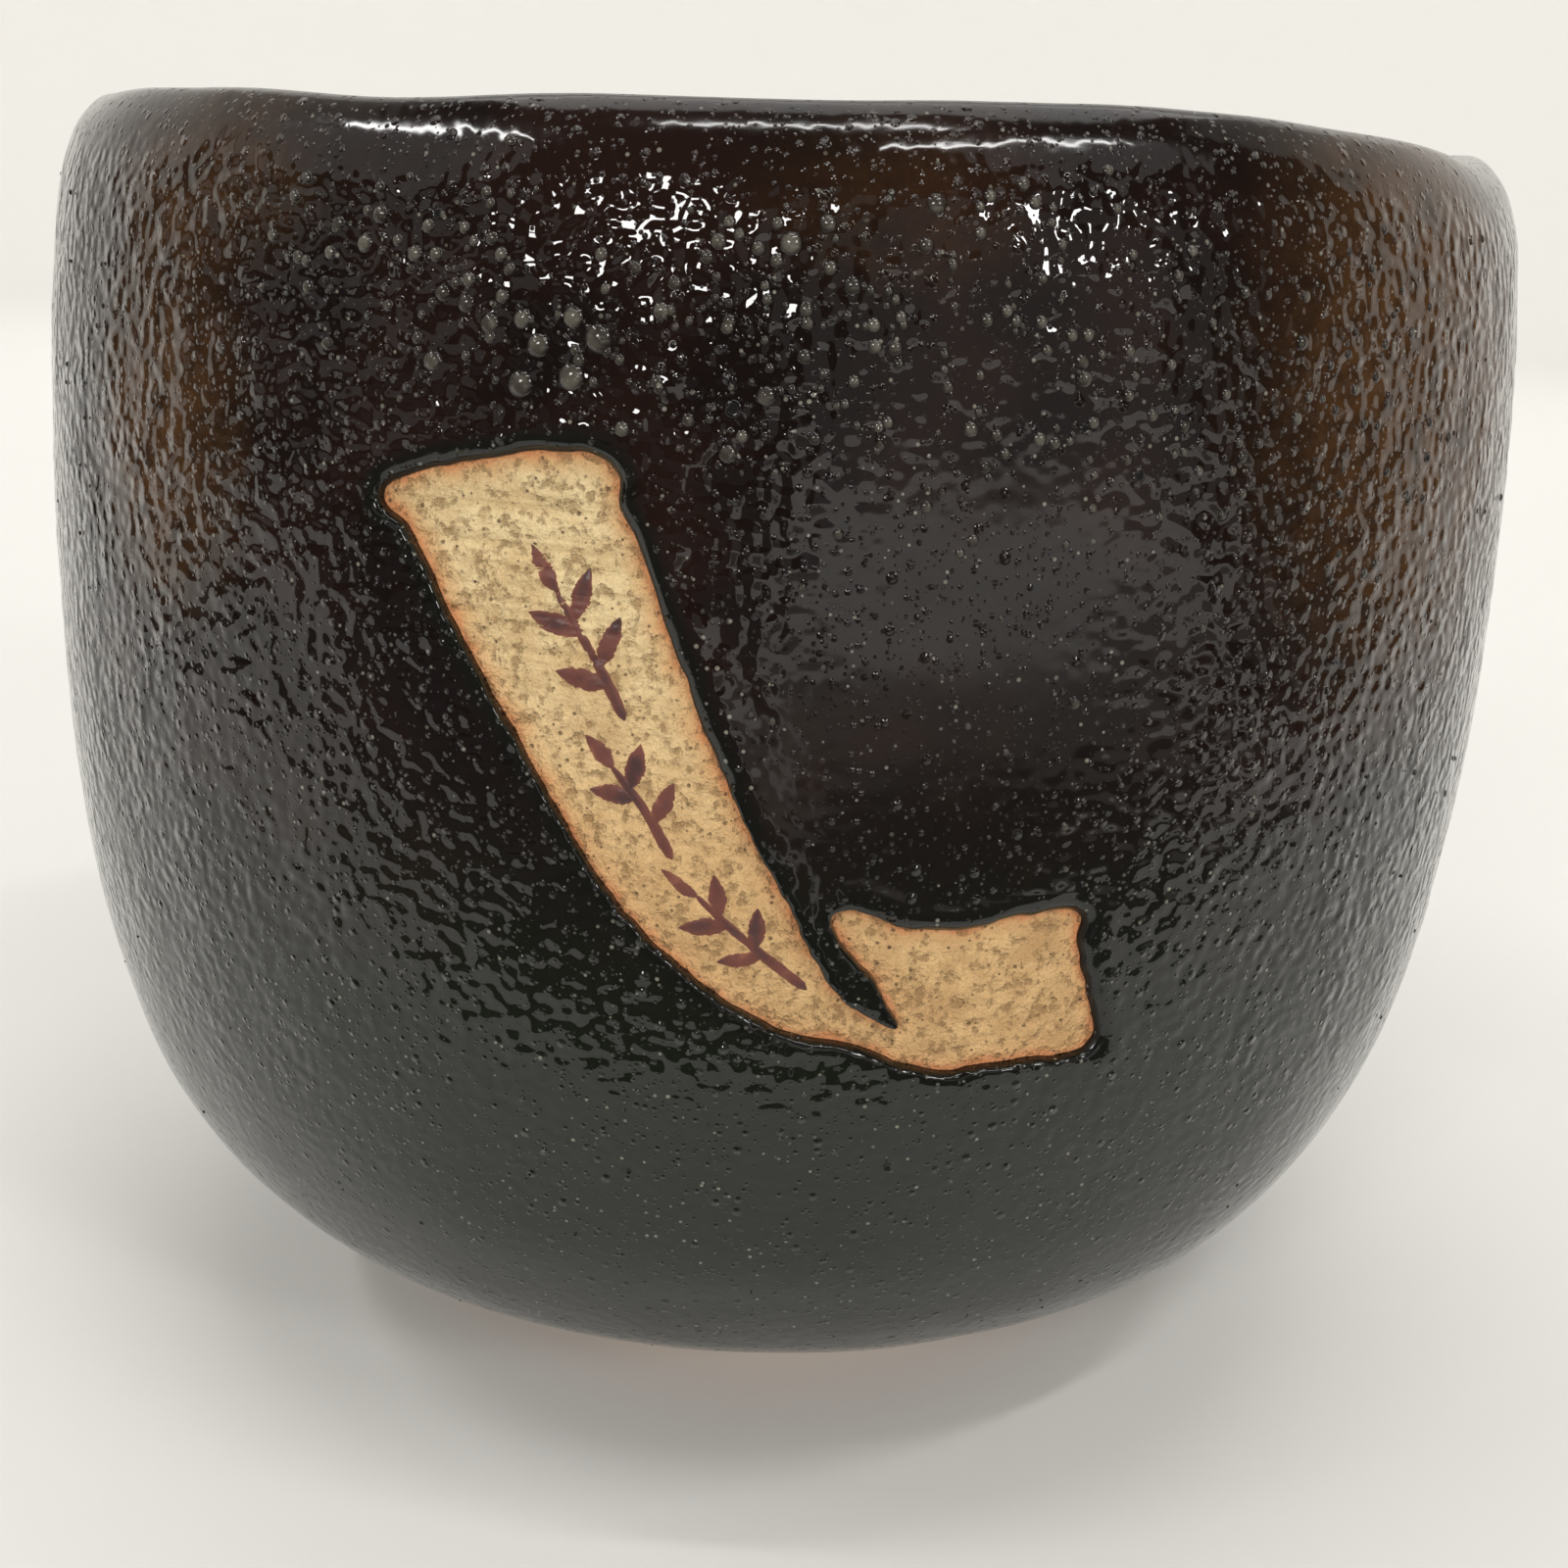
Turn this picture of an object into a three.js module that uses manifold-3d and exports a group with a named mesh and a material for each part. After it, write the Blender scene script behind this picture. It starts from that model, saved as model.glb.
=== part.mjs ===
// Hand-formed black raku matcha bowl.
// Millimetres, +Z up, origin at the bottom centre of the foot. The window in the glaze faces -Y.
// The bowl is one piece of clay with a carved foot, dressed in an outer and an inner coat of
// glaze. A ribbon-shaped window is left bare in the outer coat, and three plant sprigs are
// brushed on the clay inside it. Every layer here is its own solid.

import * as THREE from 'three';
import { mergeVertices } from 'three/addons/utils/BufferGeometryUtils.js';
import Module from 'manifold-3d';

const wasm = await Module();
wasm.setup();

// ---- Driving dimensions -------------------------------------------------------------------

const BOWL_HEIGHT = 90;          // foot to lip, before the lip's wave
const BELLY_RADIUS = 54;         // widest radius of the glazed wall
const FOOT_RADIUS = 23;          // foot where it joins the belly
const FOOT_HEIGHT = 5.2;         // flat underside of the body above the ground
const RECESS_RADIUS = 17.6;      // hollow under the foot, at the ground
const RECESS_DEPTH = 3.6;
const FOOT_EDGE = 0.8;           // how far the foot's two lower edges are worn round
const GLAZE = 0.6;               // thickness of the coats of glaze
const PIGMENT = 0.2;             // thickness of the brushed sprigs
const LAYER_GAP = 0.06;          // free space between two layers
const SEGMENTS = 56;             // facets round the bowl
const WALL_STEPS = 14;           // facets up the outer wall
const BASIN_STEPS = 13;          // facets down the inside

// Section of the glazed surface as fractions of belly radius and bowl height: from the lower
// edge of the outer coat, up the wall and over the lip, then down the inside to the centre.
const SECTION = [
  [0.519, 0.066], [0.583, 0.076], [0.681, 0.097], [0.8, 0.147], [0.894, 0.229],
  [0.956, 0.342], [0.991, 0.486], [1.0, 0.64], [0.993, 0.794], [0.976, 0.912],
  [0.962, 0.953], [0.938, 0.984], [0.904, 1.0], [0.872, 0.988], [0.857, 0.953],
  [0.876, 0.856], [0.904, 0.702], [0.9, 0.528], [0.867, 0.373], [0.778, 0.244],
  [0.611, 0.163], [0.407, 0.134], [0.2, 0.122], [0, 0.117],
];
const CROWN = 12;                // the highest point of the lip in the section

// Swells and dips of the lip: azimuth and width in degrees, rise in millimetres.
// Azimuth is 0 at the front (-Y) and grows towards +X.
const LIP_SWELLS = [
  { azimuth: -62, width: 12, rise: -0.25 },
  { azimuth: -25, width: 9, rise: -0.55 },
  { azimuth: 25, width: 18, rise: 0.75 },
  { azimuth: 66, width: 10, rise: -0.8 },
  { azimuth: 140, width: 40, rise: 0.5 },
  { azimuth: -130, width: 35, rise: -0.4 },
];
const LIP_WAVE_START = 0.6;      // fraction of the height where the wave begins
const OVAL = 0.004;              // unevenness of the radius: two-, three- and five-sided parts
const OVAL_TURN = 1.92;          // and where each starts, in radians
const TRIANGULAR = 0.0015;
const TRIANGULAR_TURN = 0.52;
const FIVE_SIDED = 0.002;
const FIVE_SIDED_TWIST = 4;      // the five-sided part winds by this much over the height

// Ribbon-shaped window: [azimuth in degrees, height in millimetres], clockwise.
const WINDOW_OUTLINE = [
  [-21.4, 69.4], [-18, 70.7], [-13, 71.8], [-8.6, 72.1], [-6.7, 71.1], [-6.6, 69.5],
  [-5.6, 67.7], [-3.5, 62.8], [-1.1, 57.1], [1.4, 52.2], [4, 47.7], [7, 42.6],
  [9.1, 41], [11.2, 40.2], [9.6, 43.1], [7.2, 45.9], [6.8, 47.3], [8, 47.6],
  [10.8, 46.6], [14.2, 46.3], [18.7, 47], [21.6, 47.2], [22.6, 46.5], [22.5, 45.3],
  [23.6, 42], [24.7, 38.8], [24.1, 37.8], [19.4, 37.5], [13.9, 37.2], [9, 38.8],
  [3.4, 40.2], [-1.9, 43.3], [-6.5, 47.6], [-10.3, 52.9], [-14, 58.5], [-16.9, 62.8],
  [-19.8, 67.3], [-21.5, 68.7],
];

// Brushed sprigs: a stem through points and leaves set on it, all as [azimuth, height].
const SPRIGS = {
  sprig_upper: {
    stem: [[-6, 57.9], [-8, 61.3], [-10.4, 64.7]],
    leaves: [
      { base: [-10.2, 64.5], tip: [-12, 67.1], width: 1.1 },
      { base: [-9.2, 63.1], tip: [-8.3, 66.1], width: 1.2 },
      { base: [-8.7, 62.4], tip: [-12.1, 63.4], width: 1.3 },
      { base: [-7.6, 60.7], tip: [-6.4, 63.6], width: 1.2 },
      { base: [-7, 59.7], tip: [-10.3, 60.3], width: 1.3 },
    ],
  },
  sprig_middle: {
    stem: [[-3, 50.1], [-4.6, 52.7], [-6.8, 55.3]],
    leaves: [
      { base: [-6.6, 55.1], tip: [-8.4, 56.9], width: 1.1 },
      { base: [-5.6, 54], tip: [-5, 56.7], width: 1.2 },
      { base: [-5.2, 53.5], tip: [-8.1, 53.8], width: 1.2 },
      { base: [-4.2, 52.1], tip: [-3, 54.6], width: 1.2 },
    ],
  },
  sprig_lower: {
    stem: [[5.4, 42.5], [1.9, 45.1], [-1.6, 48.1]],
    leaves: [
      { base: [-1.4, 47.9], tip: [-3.7, 49.5], width: 1 },
      { base: [0, 46.8], tip: [-0.5, 49.4], width: 1.1 },
      { base: [0.6, 46.3], tip: [-2.6, 46], width: 1.2 },
      { base: [2.2, 44.9], tip: [2.2, 47.5], width: 1.1 },
      { base: [2.7, 44.5], tip: [-0.2, 44], width: 1.1 },
    ],
  },
};
const STEM_WIDTH = 0.7;

// ---- Materials ----------------------------------------------------------------------------

const finish = (color, roughness) =>
  new THREE.MeshStandardMaterial({ color, roughness, metalness: 0 });
const BARE_CLAY = finish(0xcfae82, 0.85);
const BLACK_GLAZE = finish(0x120d0c, 0.12);
const IRON_PIGMENT = finish(0x5c2f29, 0.55);

// ---- The bowl's section -------------------------------------------------------------------

const sectionCurve = new THREE.CatmullRomCurve3(SECTION.map(
  ([radius, height]) => new THREE.Vector3(radius * BELLY_RADIUS, height * BOWL_HEIGHT, 0),
));
const crownAlong = CROWN / (SECTION.length - 1);

// Points of the section between two places on it, moved by a depth under the glazed surface.
function sunkPoints(start, end, steps, depth) {
  const points = [];
  for (let step = 0; step <= steps; step++) {
    const along = THREE.MathUtils.lerp(start, end, step / steps);
    const place = sectionCurve.getPoint(along);
    const tangent = sectionCurve.getTangent(along);
    points.push(new THREE.Vector2(place.x - tangent.y * depth, place.y + tangent.x * depth));
  }
  return points;
}

// The outer wall, from the foot up to just short of the crown.
function wallPoints(depth) {
  const points = sunkPoints(0, crownAlong, WALL_STEPS, depth);
  points[WALL_STEPS].x += LAYER_GAP;
  return points;
}

// The inside, from the crown down to the axis.
function basinPoints(depth) {
  const points = sunkPoints(crownAlong, 1, BASIN_STEPS, depth);
  points[BASIN_STEPS].x = 0;
  return points;
}

// ---- The unevenness that hands leave ------------------------------------------------------

function lipRise(azimuth) {
  return LIP_SWELLS.reduce((sum, swell) => {
    const away = THREE.MathUtils.euclideanModulo(azimuth - swell.azimuth + 180, 360) - 180;
    return sum + swell.rise * Math.exp(-((away / swell.width) ** 2));
  }, 0);
}

function radiusFactor(azimuth, height) {
  const angle = THREE.MathUtils.degToRad(azimuth);
  const sway = OVAL * Math.cos(2 * angle - OVAL_TURN)
    + TRIANGULAR * Math.cos(3 * angle - TRIANGULAR_TURN)
    + FIVE_SIDED * Math.cos(5 * angle + FIVE_SIDED_TWIST * height / BOWL_HEIGHT);
  return 1 + sway * THREE.MathUtils.smoothstep(height, FOOT_HEIGHT, BOWL_HEIGHT / 2);
}

// Moves every point of a turned shape to where the hand-formed bowl has it.
function formByHand(geometry) {
  const place = geometry.attributes.position;
  for (let i = 0; i < place.count; i++) {
    const [x, y, z] = [place.getX(i), place.getY(i), place.getZ(i)];
    const azimuth = THREE.MathUtils.radToDeg(Math.atan2(x, -y));
    const factor = radiusFactor(azimuth, z);
    const upper = THREE.MathUtils.smoothstep(z, LIP_WAVE_START * BOWL_HEIGHT, BOWL_HEIGHT);
    place.setXYZ(i, x * factor, y * factor, z + upper * lipRise(azimuth));
  }
  return geometry;
}

// ---- Turned shapes and solids -------------------------------------------------------------

const WELD_DISTANCE = 1e-4;

function weld(geometry) {
  geometry.deleteAttribute('normal');
  geometry.deleteAttribute('uv');
  return mergeVertices(geometry, WELD_DISTANCE);
}

// Turns a section round +Z. The section runs clockwise, seen with the axis on its left.
function turned(points) {
  const lathe = new THREE.LatheGeometry(points, SEGMENTS);
  lathe.rotateX(Math.PI / 2);
  return formByHand(weld(lathe));
}

// The layer between two depths under the glazed wall.
function wallCoat(top, bottom) {
  const outside = wallPoints(top);
  const inside = wallPoints(bottom).reverse();
  return turned([...outside, ...inside, outside[0]]);
}

function toSolid(geometry) {
  return new wasm.Manifold(new wasm.Mesh({
    numProp: 3,
    vertProperties: new Float32Array(geometry.attributes.position.array),
    triVerts: new Uint32Array(geometry.index.array),
  }));
}

function toGeometry(solid) {
  const mesh = solid.getMesh();
  const geometry = new THREE.BufferGeometry();
  geometry.setAttribute('position', new THREE.BufferAttribute(mesh.vertProperties, 3));
  geometry.setIndex(new THREE.BufferAttribute(mesh.triVerts, 1));
  return geometry;
}

// ---- Outlines on the wall -----------------------------------------------------------------

const PRISM_INSIDE = 0.8 * BELLY_RADIUS;
const PRISM_OUTSIDE = 1.2 * BELLY_RADIUS;
const CURVE_SEGMENTS = 6;
const RIM_STEPS = 2;                 // straight steps between two corners of the window's rim
const LEAF_MIDDLE = 0.4;             // share of a leaf's length where its width is set

// A place on the wall as a point of a flat sheet, both ways in millimetres.
const onSheet = ([azimuth, height]) =>
  new THREE.Vector2(THREE.MathUtils.degToRad(azimuth) * BELLY_RADIUS, height);

// Cuts a flat outline through the wall, every point of it straight out from the axis.
function prismThroughWall(shape) {
  const geometry = new THREE.ExtrudeGeometry(shape, {
    depth: PRISM_OUTSIDE - PRISM_INSIDE,
    bevelEnabled: false,
    curveSegments: CURVE_SEGMENTS,
  });
  const place = geometry.attributes.position;
  for (let i = 0; i < place.count; i++) {
    const azimuth = place.getX(i) / BELLY_RADIUS;
    const radius = PRISM_INSIDE + place.getZ(i);
    place.setXYZ(i, radius * Math.sin(azimuth), -radius * Math.cos(azimuth), place.getY(i));
  }
  return toSolid(weld(geometry));
}

function windowShape() {
  const corners = WINDOW_OUTLINE.map((corner) => {
    const place = onSheet(corner);
    return new THREE.Vector3(place.x, place.y, 0);
  });
  const curve = new THREE.CatmullRomCurve3(corners, true);
  const rim = curve.getPoints(RIM_STEPS * corners.length).slice(0, -1);
  return new THREE.Shape(rim.map((place) => new THREE.Vector2(place.x, place.y)));
}

// A pointed leaf, widest nearer its base.
function leafShape({ base, tip, width }) {
  const start = onSheet(base);
  const end = onSheet(tip);
  const middle = start.clone().lerp(end, LEAF_MIDDLE);
  const side = end.clone().sub(start).normalize().rotateAround(new THREE.Vector2(), Math.PI / 2);
  const left = middle.clone().addScaledVector(side, width);
  const right = middle.clone().addScaledVector(side, -width);
  const leaf = new THREE.Shape();
  leaf.moveTo(start.x, start.y);
  leaf.quadraticCurveTo(right.x, right.y, end.x, end.y);
  leaf.quadraticCurveTo(left.x, left.y, start.x, start.y);
  return leaf;
}

// A stem of even width along a curve through its points.
function stemShape(points) {
  const curve = new THREE.SplineCurve(points.map(onSheet));
  const left = [];
  const right = [];
  for (let step = 0; step <= CURVE_SEGMENTS; step++) {
    const along = step / CURVE_SEGMENTS;
    const place = curve.getPoint(along);
    const tangent = curve.getTangent(along);
    const side = new THREE.Vector2(-tangent.y, tangent.x).multiplyScalar(STEM_WIDTH / 2);
    left.push(place.clone().add(side));
    right.push(place.clone().sub(side));
  }
  return new THREE.Shape([...right, ...left.reverse()]);
}

// ---- The pieces ---------------------------------------------------------------------------

function clayBody() {
  const underside = [
    new THREE.Vector2(0, FOOT_HEIGHT),
    new THREE.Vector2(FOOT_RADIUS, FOOT_HEIGHT),
  ];
  const skin = GLAZE + LAYER_GAP;
  return turned([...underside, ...wallPoints(skin), ...basinPoints(skin).slice(1)]);
}

function footRing() {
  const top = FOOT_HEIGHT - LAYER_GAP;
  const section = [
    [0, RECESS_DEPTH],
    [RECESS_RADIUS - 2 * FOOT_EDGE, RECESS_DEPTH],
    [RECESS_RADIUS - FOOT_EDGE, RECESS_DEPTH - FOOT_EDGE],
    [RECESS_RADIUS, FOOT_EDGE],
    [RECESS_RADIUS + FOOT_EDGE, 0],
    [FOOT_RADIUS - 2 * FOOT_EDGE, 0],
    [FOOT_RADIUS - FOOT_EDGE, FOOT_EDGE],
    [FOOT_RADIUS, top],
    [0, top],
  ];
  return turned(section.map(([radius, height]) => new THREE.Vector2(radius, height)));
}

function outerGlaze() {
  const whole = toSolid(wallCoat(0, GLAZE));
  return toGeometry(whole.subtract(prismThroughWall(windowShape())));
}

function innerGlaze() {
  const inside = basinPoints(GLAZE).reverse();
  return turned([...inside, ...basinPoints(0)]);
}

function sprig({ stem, leaves }) {
  const shapes = [stemShape(stem), ...leaves.map(leafShape)];
  const strokes = shapes.map(prismThroughWall).reduce((all, stroke) => all.add(stroke));
  const paint = toSolid(wallCoat(GLAZE - PIGMENT, GLAZE));
  return toGeometry(paint.intersect(strokes));
}

// ---- Assembly -----------------------------------------------------------------------------

const bowl = new THREE.Group();

function addPiece(name, geometry, material) {
  geometry.computeVertexNormals();
  const piece = new THREE.Mesh(geometry, material);
  piece.name = name;
  bowl.add(piece);
}

addPiece('clay_body', clayBody(), BARE_CLAY);
addPiece('foot_ring', footRing(), BARE_CLAY);
addPiece('outer_glaze', outerGlaze(), BLACK_GLAZE);
addPiece('inner_glaze', innerGlaze(), BLACK_GLAZE);
for (const [name, strokes] of Object.entries(SPRIGS)) {
  addPiece(name, sprig(strokes), IRON_PIGMENT);
}

export default bowl;
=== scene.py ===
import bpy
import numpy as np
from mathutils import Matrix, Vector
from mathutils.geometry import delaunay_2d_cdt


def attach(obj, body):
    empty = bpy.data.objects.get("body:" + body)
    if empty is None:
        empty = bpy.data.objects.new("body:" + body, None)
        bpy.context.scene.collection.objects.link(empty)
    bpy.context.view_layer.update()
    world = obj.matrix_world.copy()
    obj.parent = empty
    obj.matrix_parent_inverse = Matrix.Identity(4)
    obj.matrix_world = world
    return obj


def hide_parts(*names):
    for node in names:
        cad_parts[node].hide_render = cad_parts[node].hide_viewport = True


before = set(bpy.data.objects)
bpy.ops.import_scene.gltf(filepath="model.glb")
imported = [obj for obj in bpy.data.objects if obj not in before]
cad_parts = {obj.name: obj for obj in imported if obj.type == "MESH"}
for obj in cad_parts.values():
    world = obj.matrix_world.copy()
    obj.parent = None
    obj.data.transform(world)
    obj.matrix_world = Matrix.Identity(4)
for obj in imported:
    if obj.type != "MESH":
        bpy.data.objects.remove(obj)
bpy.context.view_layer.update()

# A hand-formed black raku matcha bowl. Shapes are worked out in millimetres and made in metres.
# Azimuth is in degrees, 0 at the front (-Y) and growing towards +X. A place on the glazed surface
# is an azimuth and an arc: the way along the section from the lower edge of the outer coat, up
# the wall, over the lip and down the inside to the middle of the basin.

# ---- Driving dimensions, millimetres unless named otherwise -----------------------------------

MM = 0.001
BOWL_HEIGHT = 90.0
BELLY_RADIUS = 54.0
FOOT_RADIUS = 23.0
FOOT_HEIGHT = 5.2
RECESS_RADIUS = 17.6
RECESS_DEPTH = 3.6
FOOT_EDGE = 0.8
GLAZE = 0.6
LAYER_GAP = 0.06
CLAY_DEPTH = GLAZE + LAYER_GAP       # clay under the glazed surface

# The CAD model's section: fractions of belly radius and bowl height.
SECTION = [
    (0.519, 0.066), (0.583, 0.076), (0.681, 0.097), (0.8, 0.147), (0.894, 0.229),
    (0.956, 0.342), (0.991, 0.486), (1.0, 0.64), (0.993, 0.794), (0.976, 0.912),
    (0.962, 0.953), (0.938, 0.984), (0.904, 1.0), (0.872, 0.988), (0.857, 0.953),
    (0.876, 0.856), (0.904, 0.702), (0.9, 0.528), (0.867, 0.373), (0.778, 0.244),
    (0.611, 0.163), (0.407, 0.134), (0.2, 0.122), (0, 0.117),
]
CROWN = 12

# The CAD model's unevenness: (azimuth, width, rise) of the lip's swells, and the parts of the
# wall's two-, three- and five-sided unevenness.
LIP_SWELLS = [
    (-62, 12, -0.25), (-25, 9, -0.55), (25, 18, 0.75), (66, 10, -0.8), (140, 40, 0.5),
    (-130, 35, -0.4),
]
LIP_WAVE_START = 0.6
OVAL, OVAL_TURN = 0.004, 1.92
TRIANGULAR, TRIANGULAR_TURN = 0.0015, 0.52
FIVE_SIDED, FIVE_SIDED_TWIST = 0.002, 4

# The CAD model's ribbon-shaped window: (azimuth, height).
WINDOW_OUTLINE = [
    (-21.4, 69.4), (-18, 70.7), (-13, 71.8), (-8.6, 72.1), (-6.7, 71.1), (-6.6, 69.5),
    (-5.6, 67.7), (-3.5, 62.8), (-1.1, 57.1), (1.4, 52.2), (4, 47.7), (7, 42.6),
    (9.1, 41), (11.2, 40.2), (9.6, 43.1), (7.2, 45.9), (6.8, 47.3), (8, 47.6),
    (10.8, 46.6), (14.2, 46.3), (18.7, 47), (21.6, 47.2), (22.6, 46.5), (22.5, 45.3),
    (23.6, 42), (24.7, 38.8), (24.1, 37.8), (19.4, 37.5), (13.9, 37.2), (9, 38.8),
    (3.4, 40.2), (-1.9, 43.3), (-6.5, 47.6), (-10.3, 52.9), (-14, 58.5), (-16.9, 62.8),
    (-19.8, 67.3), (-21.5, 68.7),
]

# The CAD model's brushed sprigs: stems, and leaves as (base, tip, width), in (azimuth, height).
SPRIGS = {
    "sprig_upper": {
        "stem": [(-6, 57.9), (-8, 61.3), (-10.4, 64.7)],
        "leaves": [
            ((-10.2, 64.5), (-12, 67.1), 1.1), ((-9.2, 63.1), (-8.3, 66.1), 1.2),
            ((-8.7, 62.4), (-12.1, 63.4), 1.3), ((-7.6, 60.7), (-6.4, 63.6), 1.2),
            ((-7, 59.7), (-10.3, 60.3), 1.3),
        ],
    },
    "sprig_middle": {
        "stem": [(-3, 50.1), (-4.6, 52.7), (-6.8, 55.3)],
        "leaves": [
            ((-6.6, 55.1), (-8.4, 56.9), 1.1), ((-5.6, 54), (-5, 56.7), 1.2),
            ((-5.2, 53.5), (-8.1, 53.8), 1.2), ((-4.2, 52.1), (-3, 54.6), 1.2),
        ],
    },
    "sprig_lower": {
        "stem": [(5.4, 42.5), (1.9, 45.1), (-1.6, 48.1)],
        "leaves": [
            ((-1.4, 47.9), (-3.7, 49.5), 1), ((0, 46.8), (-0.5, 49.4), 1.1),
            ((0.6, 46.3), (-2.6, 46), 1.2), ((2.2, 44.9), (2.2, 47.5), 1.1),
            ((2.7, 44.5), (-0.2, 44), 1.1),
        ],
    },
}
STEM_WIDTH = 0.7
LEAF_MIDDLE = 0.4                # where along a leaf the width is set

# Marks in the outer coat: blisters as (azimuth, height, diameter), loose clusters of more of
# them as (azimuth, height, spread round, spread up, count, least and greatest diameter), and
# pinholes, shallow dishes with painted shade for the hole, as (azimuth, height, diameter).
BLISTERS = [
    (-22, 84, 1.0), (-23, 82.5, 1.0), (-19.5, 82, 0.95), (-25, 83.5, 0.85), (-18, 76.5, 1.1),
    (-12.5, 75.5, 1.45), (-9.5, 76, 1.5), (-8, 78, 1.55), (-11.5, 77.5, 1.3), (-9.5, 79, 1.2),
    (-14.5, 78.5, 1.1), (-12.5, 78.8, 1.05), (-17.5, 80, 0.9), (-16, 79.5, 1.0), (-14, 82, 0.8),
    (2.5, 83, 1.25), (4.5, 84, 0.95), (1.5, 75.5, 1.05), (6, 81, 0.95), (-4.5, 79.5, 0.95),
    (-0.5, 72.5, 1.0), (-1.5, 83, 0.9), (10.5, 85, 1.1), (10, 83, 0.85), (15.5, 86, 0.8),
    (13, 74, 0.85), (17, 73.5, 0.8), (19.5, 76.5, 0.9), (34.5, 78.5, 0.85), (34.5, 74.5, 0.8),
    (-27, 80, 0.8), (-30, 82.5, 0.75), (-6.5, 73.5, 0.85), (3.5, 77.5, 0.8), (8.5, 78, 0.8),
]
BLISTER_CLUSTERS = [
    (-20, 82, 7, 3.5, 44, 0.35, 0.85), (-8, 79, 8, 4, 46, 0.35, 0.8), (3, 79, 7, 4, 50, 0.35, 0.8),
    (14, 80, 7, 4, 50, 0.35, 0.75), (20, 74, 8, 6, 66, 0.3, 0.7), (36, 76, 9, 6, 70, 0.3, 0.72),
    (38, 64, 10, 9, 60, 0.28, 0.6), (2, 66, 10, 7, 50, 0.25, 0.5), (14, 56, 14, 7, 60, 0.25, 0.5),
    (-52, 76, 9, 9, 30, 0.25, 0.42), (0, 28, 26, 9, 70, 0.18, 0.34),
    (125, 66, 20, 14, 60, 0.25, 0.7), (-130, 62, 20, 14, 70, 0.25, 0.7),
    (175, 68, 30, 12, 70, 0.25, 0.8), (100, 34, 30, 12, 40, 0.18, 0.34),
    (-110, 34, 30, 12, 40, 0.18, 0.34),
]
PINHOLES = [
    (-0.3, 74.8, 0.85), (19.7, 74, 0.55), (23.3, 71.6, 0.75), (48.3, 72, 0.6), (11.4, 30.8, 0.6),
    (-5.6, 29.7, 0.45), (-9.8, 24, 0.4), (-22.6, 22, 0.4), (-18.2, 84, 0.6), (133, 52, 0.7),
    (168, 74, 0.6), (-150, 44, 0.7), (-96, 70, 0.5),
]

# Where the black turns brown, partly the glaze's own brown and partly painted reflection of
# brown surroundings: (azimuth, height, half width round, half width up, share).
BROWN_AND_REFLECTION_PATCHES = [
    (-41, 71, 8, 10, 0.9), (-38, 85.5, 10, 5, 0.5), (50, 77, 16, 18, 1.0), (8, 85, 7, 4, 0.25),
    (122, 74, 24, 14, 0.5), (-135, 68, 24, 15, 0.5), (175, 50, 22, 12, 0.25),
]


# ---- Small helpers ----------------------------------------------------------------------------

def smoothstep(value, low, high):
    step = np.clip((value - low) / (high - low), 0, 1)
    return step * step * (3 - 2 * step)


def bell(away, width):
    return np.exp(-(away / width) ** 2)


def turn_between(azimuth, other):
    """The shorter way round from one azimuth to another, in degrees."""
    return (azimuth - other + 180) % 360 - 180


def catmull_rom(points, along, closed=False):
    """A centripetal Catmull-Rom curve through points, at along from 0 to 1."""
    points = np.asarray(points, float)
    if closed:
        padded = np.vstack([points[-1], points, points[0], points[1]])
        spans = len(points)
    else:
        before = 2 * points[0] - points[1]
        after = 2 * points[-1] - points[-2]
        padded = np.vstack([before, points, after])
        spans = len(points) - 1
    place = np.clip(along, 0, 1) * spans
    first = np.minimum(place.astype(int), spans - 1)
    t = (place - first)[:, None]
    p0, p1, p2, p3 = (padded[first + i] for i in range(4))
    d0, d1, d2 = (
        np.sqrt(np.linalg.norm(b - a, axis=1))[:, None] for a, b in ((p0, p1), (p1, p2), (p2, p3))
    )
    start = ((p1 - p0) / d0 - (p2 - p0) / (d0 + d1) + (p2 - p1) / d1) * d1
    end = ((p2 - p1) / d1 - (p3 - p1) / (d1 + d2) + (p3 - p2) / d2) * d1
    bend = -3 * p1 + 3 * p2 - 2 * start - end
    twist = 2 * p1 - 2 * p2 + start + end
    return p1 + t * (start + t * (bend + t * twist))


def noise(places, size, seed):
    """Smooth noise from -1 to 1 at places in millimetres, with lumps about size across."""
    cells = int(2.6 * BELLY_RADIUS / size) + 4
    lattice = np.random.default_rng(seed).uniform(-1, 1, (cells, cells, cells)).astype(np.float32)
    scaled = places / size + cells / 2 + np.array([0, 0, -BOWL_HEIGHT / 2 / size])
    scaled = np.clip(scaled, 0, cells - 1.001)
    cell = scaled.astype(int)
    part = scaled - cell
    part = part * part * (3 - 2 * part)
    total = np.zeros(len(places))
    for corner in np.ndindex(2, 2, 2):
        weight = np.prod(np.where(corner, part, 1 - part), axis=1)
        x, y, z = (cell + corner).T
        total += weight * lattice[x, y, z]
    return total


# ---- The bowl's surface -----------------------------------------------------------------------

TABLE_STEPS = 6000
_along = np.linspace(0, 1, TABLE_STEPS)
_section = catmull_rom(np.array(SECTION) * (BELLY_RADIUS, BOWL_HEIGHT), _along)
_tangent = np.gradient(_section, axis=0)
_tangent /= np.linalg.norm(_tangent, axis=1)[:, None]
_steps = np.linalg.norm(np.diff(_section, axis=0), axis=1)
_arc = np.concatenate([[0], np.cumsum(_steps)])
ARC_LENGTH = _arc[-1]
CROWN_ARC = np.interp(CROWN / (len(SECTION) - 1), _along, _arc)


def section_at(arc):
    """Radius and height of the section at an arc, and its normal's share out and up."""
    return (
        np.interp(arc, _arc, _section[:, 0]),
        np.interp(arc, _arc, _section[:, 1]),
        np.interp(arc, _arc, _tangent[:, 1]),
        np.interp(arc, _arc, -_tangent[:, 0]),
    )


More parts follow.
